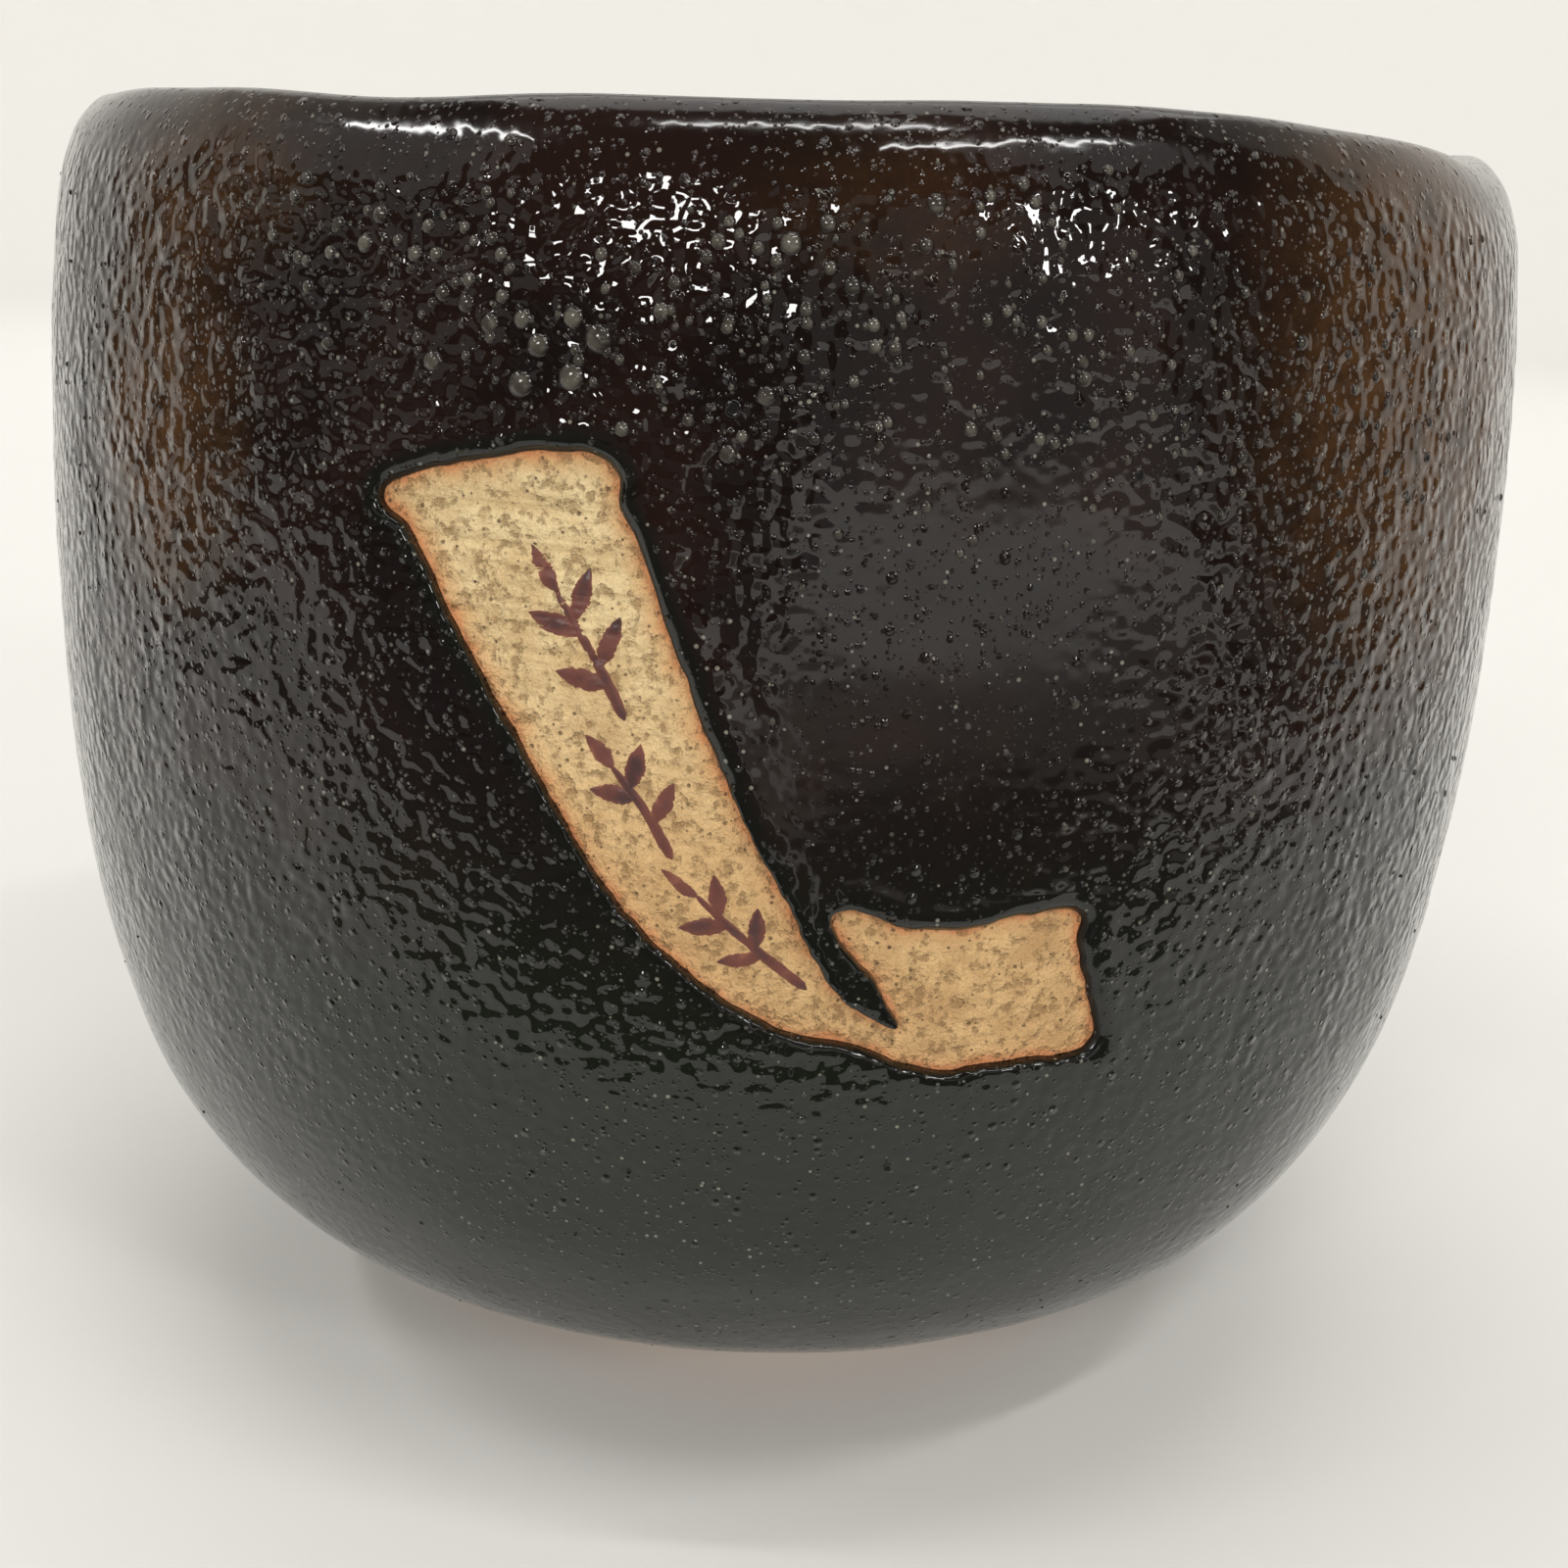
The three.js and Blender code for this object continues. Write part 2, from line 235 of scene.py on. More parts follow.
def arc_at_height(height):
    """The arc of a height on the outer wall."""
    wall = _arc <= CROWN_ARC
    return np.interp(height, _section[wall, 1], _arc[wall])


def lip_rise(azimuth, height):
    upper = smoothstep(height, LIP_WAVE_START * BOWL_HEIGHT, BOWL_HEIGHT)
    return upper * sum(
        rise * bell(turn_between(azimuth, at), width) for at, width, rise in LIP_SWELLS
    )


def formed(azimuth, radius, height):
    """Places of a turned shape's points on the hand-formed bowl, in millimetres."""
    angle = np.radians(azimuth)
    sway = (
        OVAL * np.cos(2 * angle - OVAL_TURN)
        + TRIANGULAR * np.cos(3 * angle - TRIANGULAR_TURN)
        + FIVE_SIDED * np.cos(5 * angle + FIVE_SIDED_TWIST * height / BOWL_HEIGHT)
    )
    radius = radius * (1 + sway * smoothstep(height, FOOT_HEIGHT, BOWL_HEIGHT / 2))
    height = height + lip_rise(azimuth, height)
    return np.stack([radius * np.sin(angle), -radius * np.cos(angle), height], axis=1)


def on_surface(azimuth, arc, rise):
    """Places that stand out of the glazed surface by rise."""
    radius, height, out, up = section_at(arc)
    return formed(azimuth, np.maximum(radius + out * rise, 0), height + up * rise)


# ---- The window's outline ---------------------------------------------------------------------

OUTLINE_STEP = 0.18
RAGGED = 0.1                     # how far the coat's edge strays from the smooth outline


def window_outline():
    """The outline as evenly spaced (azimuth, arc) points."""
    corners = np.array(WINDOW_OUTLINE, float)
    corners[:, 1] -= lip_rise(corners[:, 0], corners[:, 1])
    fine = catmull_rom(corners, np.linspace(0, 1, 6000), closed=True)
    sheet = np.stack([np.radians(fine[:, 0]) * BELLY_RADIUS, arc_at_height(fine[:, 1])], axis=1)
    lengths = np.concatenate([[0], np.cumsum(np.linalg.norm(np.diff(sheet, axis=0), axis=1))])
    count = int(lengths[-1] / OUTLINE_STEP)
    even = np.linspace(0, lengths[-1], count, endpoint=False)
    rim = np.stack([np.interp(even, lengths, sheet[:, i]) for i in (0, 1)], axis=1)
    level = np.zeros((count, 1))
    stray = [noise(np.hstack([rim, level]), 0.9, seed) for seed in (51, 52)]
    return rim + RAGGED * np.stack(stray, axis=1)


OUTLINE = window_outline()           # on a flat sheet: millimetres round the wall, and the arc


def to_sheet(azimuth, arc):
    return np.stack([np.radians(azimuth) * BELLY_RADIUS, arc], axis=1)


def outline_distance(sheet):
    """Distance from the window's outline, in millimetres: positive on the glaze."""
    nearest = np.full(len(sheet), 1e9)
    inside = np.zeros(len(sheet), bool)
    ends = np.roll(OUTLINE, -1, axis=0)
    near = np.all((sheet > OUTLINE.min(0) - 8) & (sheet < OUTLINE.max(0) + 8), axis=1)
    x, y = sheet[near].T
    best = np.full(len(x), 1e9)
    hits = np.zeros(len(x), bool)
    for (ax, ay), (bx, by) in zip(OUTLINE, ends):
        dx, dy = bx - ax, by - ay
        t = np.clip(((x - ax) * dx + (y - ay) * dy) / (dx * dx + dy * dy), 0, 1)
        best = np.minimum(best, (x - ax - t * dx) ** 2 + (y - ay - t * dy) ** 2)
        crosses = (ay > y) != (by > y)
        if crosses.any():
            hits ^= crosses & (x < ax + (y - ay) * dx / (dy if dy else 1e-9))
    nearest[near] = np.sqrt(best)
    inside[near] = hits
    return np.where(inside, -nearest, nearest)


# ---- Meshes -----------------------------------------------------------------------------------

def make_mesh(name, places, faces, material, attributes=None):
    """A smooth mesh object from places in millimetres. Faces is a list of index arrays."""
    mesh = bpy.data.meshes.new(name)
    mesh.vertices.add(len(places))
    mesh.vertices.foreach_set("co", (places * MM).astype(np.float32).ravel())
    corners = np.concatenate([group.ravel() for group in faces]).astype(np.int32)
    totals = np.concatenate([np.full(len(group), group.shape[1], np.int32) for group in faces])
    mesh.loops.add(len(corners))
    mesh.loops.foreach_set("vertex_index", corners)
    mesh.polygons.add(len(totals))
    starts = np.concatenate([[0], np.cumsum(totals)[:-1]]).astype(np.int32)
    mesh.polygons.foreach_set("loop_start", starts)
    mesh.polygons.foreach_set("use_smooth", np.ones(len(totals), bool))
    mesh.update(calc_edges=True)
    mesh.validate()
    for key, values in (attributes or {}).items():
        layer = mesh.attributes.new(key, "FLOAT", "POINT")
        layer.data.foreach_set("value", values.astype(np.float32))
    mesh.materials.append(material)
    piece = bpy.data.objects.new(name, mesh)
    bpy.context.collection.objects.link(piece)
    return piece


def put_on(piece, slot, *nodes):
    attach(piece, "root")
    if nodes:
        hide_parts(*nodes)


def band_faces(first, second):
    """Quads between two closed rings of indices, facing out where the second lies above."""
    return np.stack([first, np.roll(first, -1), np.roll(second, -1), second], axis=1)


def grid_faces(ids):
    """Quads of a grid of indices."""
    return np.stack([ids[:-1, :-1], ids[1:, :-1], ids[1:, 1:], ids[:-1, 1:]], -1).reshape(-1, 4)


def flat_grid(first, second):
    """Every pair of two lists' values, the second list's values in rows."""
    return (part.ravel() for part in np.meshgrid(first, second))


def rings_faces(rings):
    return np.concatenate([band_faces(low, high) for low, high in zip(rings[:-1], rings[1:])])


def fan_faces(ring, centre):
    return np.stack([ring, np.roll(ring, -1), np.full(len(ring), centre)], axis=1)


def triangles_between(points, outline_start, outline_count):
    """Delaunay triangles of flat points that leave the window's hole open."""
    ids = outline_start + np.arange(outline_count)
    edges = [(int(a), int(b)) for a, b in zip(ids, np.roll(ids, -1))]
    spots = [Vector((float(x), float(y))) for x, y in points]
    found = delaunay_2d_cdt(spots, edges, [], 0, 1e-6)
    source = np.array([sources[0] for sources in found[3]])
    triangles = source[np.array(found[2])]
    middles = points[triangles].mean(axis=1)
    return triangles[outline_distance(middles) > 0]


# ---- Relief of the glaze ----------------------------------------------------------------------

# Small bubbles roughen the glaze all over. Where it has melted smoother, and by how much:
# (azimuth, height, width round in degrees, width up, share).
CALM_ZONES = [
    (15, 66, 14, 13, 0.85), (8, 54, 12, 9, 0.5), (-26, 62, 8, 12, 0.25), (0, 20, 90, 18, 0.75),
    (150, 40, 40, 20, 0.5), (-110, 30, 40, 18, 0.5), (-160, 70, 14, 12, 0.5), (95, 70, 12, 12, 0.4),
]
CALM_WIDTH = 1.5                 # smooth band of glaze over and to the right of the window
CALMEST = 0.12


def roughness_of_surface(azimuth, arc, edge):
    """How thickly bubbles roughen the glaze, from near 0 where it is calm to 1."""
    height = section_at(arc)[1]
    calm = sum(
        share * bell(turn_between(azimuth, at), wide) * bell(height - level, tall)
        for at, level, wide, tall, share in CALM_ZONES
    )
    band = bead_share(azimuth, height) * (1 - smoothstep(edge, 0.5, CALM_WIDTH))
    lip = smoothstep(height, 0.94 * BOWL_HEIGHT, 0.985 * BOWL_HEIGHT)
    return np.clip(1 - calm, CALMEST, 1) * (1 - 0.9 * band) * (1 - 0.75 * lip)


# The glaze's unevenness as (height, size across, seed): slow swells, and the peel of its skin.
SWELLS = ((0.16, 15, 1), (0.08, 6.5, 2))
PEEL = ((0.036, 2.3, 3), (0.04, 1.15, 4))
PEEL_WHERE_CALM = 0.06           # share of the peel that is left on the smoothest glaze


def glaze_relief(places, rough):
    """Height of the melted glaze's unevenness over the CAD surface."""
    slow, peel = (
        sum(height * noise(places, size, seed) for height, size, seed in parts)
        for parts in (SWELLS, PEEL)
    )
    return slow + peel * (PEEL_WHERE_CALM + (1 - PEEL_WHERE_CALM) * rough ** 2)


RIBBON_START = (-22, 70)         # (azimuth, height) of the ribbon's upper end
RIBBON_FALL = 0.7                # millimetres down the wall for each degree to the right


def bead_share(azimuth, height):
    """The bead along the window is thick over it and to its right, and thin under it."""
    ribbon = RIBBON_START[1] - RIBBON_FALL * (azimuth - RIBBON_START[0])
    return smoothstep(height - ribbon, -1.5, 1.5)


def brown_and_reflection_share(azimuth, height):
    """How brown the glaze is painted, from 0 to 1: partly its own brown, partly painted reflection of
    brown surroundings.
    """
    total = sum(
        share * smoothstep(
            np.hypot(turn_between(azimuth, at) / wide, (height - level) / tall), 1.5, 0.4
        )
        for at, level, wide, tall, share in BROWN_AND_REFLECTION_PATCHES
    )
    return np.clip(total, 0, 1)


def edge_profile(edge, width, bead):
    """How far under the surface a coat's rounded edge lies, and its thick bead."""
    near = np.clip(edge / width, 0, 1)
    sunk = (CLAY_DEPTH + 0.05) * (1 - np.sqrt(1 - (1 - near) ** 2))
    return bead * bell(edge - 1.5 * width, width) * smoothstep(edge, 0, width) - sunk


def window_edge(edge, places, azimuth, height):
    """The outer coat at the window: an uneven rounded bead above, and cut off short below."""
    thick = bead_share(azimuth, height)
    uneven = 1 + 0.35 * noise(places, 2.6, 6)
    rounded = edge_profile(edge, 0.75 * uneven, 0.12 * uneven)
    cut = edge_profile(edge, 0.22, 0)
    return thick * rounded + (1 - thick) * cut


# ---- Outer coat -------------------------------------------------------------------------------

COLUMNS = 880
WALL_ROWS = 262
OVERLAP = 3.0                    # how far the two coats run on under each other at the lip
OVERLAP_SINK = 0.02              # depth per square millimetre of that
PATCH = ((-29.0, 33.0), (32.0, 76.5))        # (azimuth, height) corners round the window
RING_DISTANCES = (0.05, 0.11, 0.18, 0.27, 0.38, 0.52, 0.7, 0.92)
CLEAR_OF_RINGS = 1.1
THIN_EDGE_SHIFT = 0.22           # the thin side's edge looks less dry than the bead's
FOOT_EDGE_WAVE = 1.0             # unevenness of the coat's lower edge
FOOT_EDGE_FADE = 14.0
FOOT_EDGE_WIDTH = 0.8
FOOT_EDGE_BEAD = 0.25
UNDERSIDE_STEP = 4.0             # spacing of the coarse points under the coat
UNDERSIDE_SKIP = 8               # one column in so many has such points
UNDERSIDE_CLEARANCE = 1.5


def lower_edge_shift(azimuth):
    angle = np.radians(azimuth)
    return FOOT_EDGE_WAVE * (
        0.5 * np.sin(3 * angle + 0.4) + 0.3 * np.sin(7 * angle + 2) + 0.35 * np.sin(2 * angle)
        + 0.15 * np.sin(13 * angle + 1)
    )


def overlap_sink(arc, towards):
    """The depth of a coat past the crown, on the side where the other coat covers it."""
    past = np.clip((arc - CROWN_ARC) * towards, 0, None)
    return OVERLAP_SINK * past ** 2


def coat_places(azimuth, arc, edge):
    """Places of the outer coat's outside, and how rough and how brown it is there, the brown partly
    painted reflection.
    """
    start = lower_edge_shift(azimuth) * (1 - smoothstep(arc, 0, FOOT_EDGE_FADE))
    shifted = arc + start
    rough = roughness_of_surface(azimuth, shifted, edge)
    base = on_surface(azimuth, shifted, 0)
    height = section_at(shifted)[1]
    rise = (
        glaze_relief(base, rough) * smoothstep(edge, 0, 0.6)
        + window_edge(edge, base, azimuth, height)
        + edge_profile(arc, FOOT_EDGE_WIDTH, FOOT_EDGE_BEAD)
        - overlap_sink(shifted, 1)
    )
    return on_surface(azimuth, shifted, rise), rough, brown_and_reflection_share(azimuth, height)


def ring_points():
    """Points beside the outline on the glaze's side, in rows that follow it."""
    ahead = np.roll(OUTLINE, -1, axis=0) - np.roll(OUTLINE, 1, axis=0)
    ahead /= np.linalg.norm(ahead, axis=1)[:, None]
    side = np.stack([-ahead[:, 1], ahead[:, 0]], axis=1)
    if outline_distance(OUTLINE[:1] + side[:1] * 0.1)[0] < 0:
        side = -side
    rows = [OUTLINE + side * distance for distance in RING_DISTANCES]
    kept = [
        row[outline_distance(row) > 0.93 * distance] for row, distance in zip(rows, RING_DISTANCES)
    ]
    return np.concatenate(kept)


def outer_coat(material):
    azimuths = -180 + 360 * np.arange(COLUMNS) / COLUMNS
    arcs = np.linspace(0, CROWN_ARC + OVERLAP, WALL_ROWS)
    (west, south), (east, north) = PATCH
    left, right = np.searchsorted(azimuths, (west, east))
    low, high = np.searchsorted(arcs, arc_at_height(np.array([south, north])))
    grid_azimuth, grid_arc = flat_grid(azimuths, arcs)
    row, column = (part.ravel() for part in np.indices((WALL_ROWS, COLUMNS)))
    in_patch = (row > low) & (row < high) & (column > left) & (column < right)
    sheet = to_sheet(grid_azimuth, grid_arc)
    edge = outline_distance(sheet)
    kept = ~in_patch | (edge > CLEAR_OF_RINGS)
    number = np.full(len(kept), -1)
    number[kept] = np.arange(kept.sum())

    rings = ring_points()
    all_sheet = np.concatenate([sheet[kept], OUTLINE, rings])
    all_edge = np.concatenate([edge[kept], np.zeros(len(OUTLINE)), outline_distance(rings)])
    azimuth = np.degrees(all_sheet[:, 0] / BELLY_RADIUS)
    places, rough, brown = coat_places(azimuth, all_sheet[:, 1], all_edge)
    thin = THIN_EDGE_SHIFT * (1 - bead_share(azimuth, section_at(all_sheet[:, 1])[1]))

    ids = np.arange(WALL_ROWS * COLUMNS).reshape(WALL_ROWS, COLUMNS)
    quads = np.stack([
        ids[:-1], np.roll(ids, -1, axis=1)[:-1], np.roll(ids, -1, axis=1)[1:], ids[1:],
    ], axis=-1).reshape(-1, 4)
    rows_of, columns_of = quads[:, 0] // COLUMNS, quads[:, 0] % COLUMNS
    outside = ~(
        (rows_of >= low) & (rows_of < high) & (columns_of >= left) & (columns_of < right)
    )
    quads = number[quads[outside]]

    border = (row >= low) & (row <= high) & (column >= left) & (column <= right) & kept
    patch_ids = np.concatenate([number[border], kept.sum() + np.arange(len(OUTLINE) + len(rings))])
    patch = patch_ids[triangles_between(all_sheet[patch_ids], int(border.sum()), len(OUTLINE))]

    under, under_places = coat_underside(number, ids, kept.sum(), azimuths, arcs, len(places))
    under_count = len(under_places)
    attributes = {
        "edge": np.concatenate([np.minimum(all_edge + thin, 8), np.zeros(under_count)]),
        "rough": np.concatenate([rough, np.zeros(under_count)]),
        "brown": np.concatenate([brown, np.zeros(under_count)]),
    }
    places = np.concatenate([places, under_places])
    return make_mesh("glaze_outer_coat", places, [quads, patch, under], material, attributes)


def coat_underside(number, ids, outline_first, azimuths, arcs, next_id):
    """Coarse triangles under the coat that share its edges, so the coat is one closed skin."""
    columns = np.arange(0, COLUMNS, UNDERSIDE_SKIP)
    rows = np.linspace(0, arcs[-1], int(arcs[-1] / UNDERSIDE_STEP))[1:-1]
    inner_azimuth, inner_arc = flat_grid(azimuths[columns], rows)
    inner_sheet = to_sheet(inner_azimuth, inner_arc)
    clear = outline_distance(inner_sheet) > UNDERSIDE_CLEARANCE
    inner_azimuth, inner_arc = inner_azimuth[clear], inner_arc[clear]
    start = lower_edge_shift(inner_azimuth) * (1 - smoothstep(inner_arc, 0, FOOT_EDGE_FADE))
    inner_places = on_surface(inner_azimuth, inner_arc + start, -GLAZE)
    inner_ids = next_id + np.arange(len(inner_arc))

    seam = np.flatnonzero(inner_azimuth == azimuths[0])
    ends = (number[ids[0]], number[ids[-1]])
    edge_azimuth = np.append(azimuths, 180)
    sheet = np.concatenate([
        OUTLINE,
        to_sheet(edge_azimuth, np.full(COLUMNS + 1, arcs[0])),
        to_sheet(edge_azimuth, np.full(COLUMNS + 1, arcs[-1])),
        to_sheet(inner_azimuth, inner_arc),
        to_sheet(np.full(len(seam), 180.0), inner_arc[seam]),
    ])
    owner = np.concatenate([
        outline_first + np.arange(len(OUTLINE)),
        np.append(ends[0], ends[0][0]),
        np.append(ends[1], ends[1][0]),
        inner_ids,
        inner_ids[seam],
    ])
    triangles = triangles_between(sheet, 0, len(OUTLINE))
    return owner[triangles][:, ::-1], inner_places


# ---- Inner coat -------------------------------------------------------------------------------

BASIN_COLUMNS = 480
BASIN_ROWS = 230
UNDER_ROWS = 28
BASIN_ROUGHNESS = 0.35


def inner_coat(material):
    azimuths = -180 + 360 * np.arange(BASIN_COLUMNS) / BASIN_COLUMNS
    top_arcs = np.linspace(CROWN_ARC - OVERLAP, ARC_LENGTH, BASIN_ROWS)[:-1]
    under_arcs = np.linspace(CROWN_ARC - OVERLAP, ARC_LENGTH, UNDER_ROWS)[1:-1]
    azimuth, arc = flat_grid(azimuths, top_arcs)
    base = on_surface(azimuth, arc, 0)
    near_middle = 1 - smoothstep(arc, ARC_LENGTH - 6, ARC_LENGTH)
    rise = glaze_relief(base, BASIN_ROUGHNESS) * near_middle - overlap_sink(arc, -1)
    places = on_surface(azimuth, arc, rise)
    under_azimuth, under_arc = flat_grid(azimuths, under_arcs)
    under = on_surface(under_azimuth, under_arc, -GLAZE)
    floor = section_at(ARC_LENGTH)[1]
    centres = np.array([[0, 0, floor], [0, 0, floor - GLAZE]])
    everything = np.concatenate([places, under, centres])
    top_ids = np.arange(len(places)).reshape(-1, BASIN_COLUMNS)
    under_ids = len(places) + np.arange(len(under)).reshape(-1, BASIN_COLUMNS)
    middle = len(places) + len(under)
    under_rings = [top_ids[0], *under_ids]
    faces = [
        rings_faces(list(top_ids)),
        rings_faces(under_rings)[:, ::-1],
        fan_faces(top_ids[-1], middle),
        fan_faces(under_ids[-1], middle + 1)[:, ::-1],
    ]
    count = len(everything)
    attributes = {"edge": np.full(count, 8.0), "rough": np.full(count, BASIN_ROUGHNESS)}
    return make_mesh("glaze_inner_coat", everything, faces, material, attributes)


# ---- Clay -------------------------------------------------------------------------------------

def spread(spans):
    """Places along a line from (start, end, step) spans, each keeping its start."""
    return np.concatenate([
        np.linspace(start, end, max(1, round((end - start) / step)), endpoint=False)
        for start, end, step in spans
    ])


def clay_relief(places, azimuth, height):
    """Height of the clay's unevenness under the coat: grain, swells and scratches."""
    grain = 0.04 * noise(places, 1.7, 11) + 0.05 * noise(places, 0.75, 12)
    slow = 0.1 * noise(places, 9, 13)
    return grain + slow + scratches(azimuth, height)


SCRATCHES = 34
SCRATCHED = (61, 69.5)           # heights between which they lie
CLAY_SINK = 0.04                 # the shown clay lies this much deeper than under the coat


def scratches(azimuth, height):
    """Fine level strokes that a finger or a rib has left across the top of the window."""
    draw = np.random.default_rng(21)
    total = np.zeros(len(azimuth))
    for _ in range(SCRATCHES):
        level = draw.uniform(*SCRATCHED)
        tilt = draw.normal(-0.02, 0.012)
        middle = draw.uniform(-19, -7)
        reach = draw.uniform(3, 9)
        width = draw.uniform(0.1, 0.24)
        depth = draw.uniform(-0.2, 0.08)
        line = height - level - tilt * (azimuth - middle)
        total += depth * bell(line, width) * bell(azimuth - middle, reach)
    return total


def clay_body(material):
    azimuths = spread([(-180, -27, 2.5), (-27, 30, 0.22), (30, 180, 2.5)])
    low_end, scratched, high_end = arc_at_height(np.array([34.5, 60.5, 74.5]))
    arcs = spread([
        (0, 6, 0.5), (6, low_end, 3), (low_end, scratched, 0.2), (scratched, high_end, 0.12),
        (high_end, CROWN_ARC, 3), (CROWN_ARC, ARC_LENGTH - 1, 4),
    ])
    azimuth, arc = flat_grid(azimuths, arcs)
    base = on_surface(azimuth, arc, -CLAY_DEPTH)
    edge = outline_distance(to_sheet(azimuth, arc))
    height = section_at(arc)[1]
    shown = smoothstep(-edge, -0.4, 0.3)
    low = arc < 6
    relief = clay_relief(base, azimuth, height) * np.where(low, 0.6, shown) - CLAY_SINK * shown
    places = on_surface(azimuth, arc, relief - CLAY_DEPTH)
    columns = len(azimuths)
    under_radii = np.array([6.0, 16.0, FOOT_RADIUS - 3, FOOT_RADIUS, FOOT_RADIUS + 1.5])
    under_heights = np.array([FOOT_HEIGHT] * 4 + [FOOT_HEIGHT + 0.5])
    under_azimuth, radius = flat_grid(azimuths, under_radii)
    level = np.repeat(under_heights, columns)
    under = formed(under_azimuth, radius, level)
    floor = section_at(ARC_LENGTH)[1] - CLAY_DEPTH
    centres = np.array([[0, 0, FOOT_HEIGHT], [0, 0, floor]])
    everything = np.concatenate([under, places, centres])
    under_ids = np.arange(len(under)).reshape(-1, columns)
    wall_ids = len(under) + np.arange(len(places)).reshape(-1, columns)
    middle = len(under) + len(places)
    faces = [
        rings_faces([*under_ids, *wall_ids]),
        fan_faces(under_ids[0], middle)[:, ::-1],
        fan_faces(wall_ids[-1], middle + 1),
    ]
    attributes = {"edge": np.concatenate([np.full(len(under), -8.0), edge, [-8.0, 8.0]])}
    return make_mesh("clay_wall_and_floor", everything, faces, material, attributes)


def clay_foot(material):
    """The carved foot: a ring with worn edges, turning marks and a nub in the recess."""
    top = FOOT_HEIGHT - LAYER_GAP
    corners = [
        (0, RECESS_DEPTH - 0.9), (2.2, RECESS_DEPTH - 0.8), (4.2, RECESS_DEPTH - 0.1),
        (8, RECESS_DEPTH), (RECESS_RADIUS - 3, RECESS_DEPTH - 0.1),
        (RECESS_RADIUS - 1.2, RECESS_DEPTH - 0.9), (RECESS_RADIUS - 0.3, 2.4),
        (RECESS_RADIUS, FOOT_EDGE), (RECESS_RADIUS + 0.25, 0.25), (RECESS_RADIUS + FOOT_EDGE, 0),
        (FOOT_RADIUS - 2 * FOOT_EDGE, 0), (FOOT_RADIUS - 1.1, 0.25),
        (FOOT_RADIUS - 0.75, FOOT_EDGE), (FOOT_RADIUS - 0.45, 3), (FOOT_RADIUS - 0.1, 6),
        (FOOT_RADIUS, top),
    ]
    section = catmull_rom(corners, np.linspace(0, 1, 150))[1:]
    section[:, 1] = np.maximum(section[:, 1], 0)      # worn flat where it stands
    azimuths = -180 + 360 * np.arange(300) / 300
    azimuth = np.tile(azimuths, len(section))
    radius, height = np.repeat(section, len(azimuths), axis=0).T
    places = formed(azimuth, radius, height)
    lump = 0.14 * noise(places, 7, 31) + 0.07 * noise(places, 2.4, 32) + 0.05 * noise(places, 1.1, 33)
    angle = np.radians(azimuth)
    spiral = 0.05 * np.sin(radius * 3.1 + angle) * smoothstep(height, 3.8, 4.6)
    standing = smoothstep(height, 0.02, 0.5)
    inside = np.where(radius < (RECESS_RADIUS + FOOT_RADIUS) / 2, -1, 1)
    wall = smoothstep(height, 0.3, 1.5) * (1 - smoothstep(height, 6.5, 7.4))
    out = (inside * wall * (radius > RECESS_RADIUS - 3) * lump)[:, None]
    places[:, :2] *= 1 + out / np.maximum(radius, 1)[:, None]
    places[:, 2] += (lump + spiral) * standing * (radius < RECESS_RADIUS - 2)
    ids = np.arange(len(places)).reshape(-1, len(azimuths))
    centres = np.array([[0, 0, corners[0][1]], [0, 0, top]])
    everything = np.concatenate([places, centres])
    faces = [
        rings_faces(list(ids)),
        fan_faces(ids[0], len(places))[:, ::-1],
        fan_faces(ids[-1], len(places) + 1),
    ]
    attributes = {"edge": np.full(len(everything), -8.0)}
    return make_mesh("clay_foot", everything, faces, material, attributes)


# ---- Blisters and pinholes --------------------------------------------------------------------

MARK_SPOKES = 14
BLISTER_RINGS = [(1.12, -0.5), (1.0, 0.05), (0.88, 0.32), (0.66, 0.62), (0.4, 0.84), (0.16, 0.94)]
BLISTER_STANDS = 0.24            # height of a blister as a share of its diameter
PINHOLE_RINGS = [(1.25, -0.4), (1.1, 0.12), (0.92, 0.3), (0.74, 0.3), (0.58, 0.12), (0.3, 0.04)]
PINHOLE_STANDS = 0.3
WINDOW_CLEARANCE = 1.0           # no mark lies nearer to the window than this
FULL_BLISTER = 0.85              # diameter from which a blister has its full pale colour
PIT_START = 0.35                 # a pinhole's middle is painted black, as the hole's shade, from this share of its radius inward


def scattered_blisters():
    draw = np.random.default_rng(47)
    found = []
    for azimuth, height, wide, tall, count, least, greatest in BLISTER_CLUSTERS:
        sizes = least + (greatest - least) * draw.uniform(0, 1, count) ** 1.4
        found += zip(draw.normal(azimuth, wide, count), draw.normal(height, tall, count), sizes)
    return [mark for mark in found if 8 < mark[1] < BOWL_HEIGHT - 2]


def small_mark(mark, rings, stands, relief):
    """A round mark's places: rings of (share of its radius, share of its height), and two ends."""
    azimuth, height, diameter = mark
    radius, spokes = diameter / 2, np.arange(MARK_SPOKES) * 2 * np.pi / MARK_SPOKES
    shares = np.repeat([share for share, _ in rings] + [0, 0], MARK_SPOKES)
    levels = np.repeat([level for _, level in rings] + [rings[-1][1] + 0.04, -0.5], MARK_SPOKES)
    turn = np.tile(spokes, len(rings) + 2)
    arc = arc_at_height(np.array([height]))[0]
    around = azimuth + np.degrees(shares * radius * np.cos(turn) / BELLY_RADIUS)
    along = arc + shares * radius * np.sin(turn)
    return on_surface(around, along, relief + levels * stands * diameter)


def mark_skin(mark, rings, stands, relief, first):
    """One mark's places, and its faces with indices that start at first."""
    rows = len(rings)
    shape = small_mark(mark, rings, stands, relief)
    ends = shape[[rows * MARK_SPOKES, (rows + 1) * MARK_SPOKES]]
    places = np.concatenate([shape[:rows * MARK_SPOKES], ends])
    ids = [first + row * MARK_SPOKES + np.arange(MARK_SPOKES) for row in range(rows)]
    top = first + rows * MARK_SPOKES
    faces = (rings_faces(ids), fan_faces(ids[-1], top), fan_faces(ids[0], top + 1)[:, ::-1])
    return places, faces


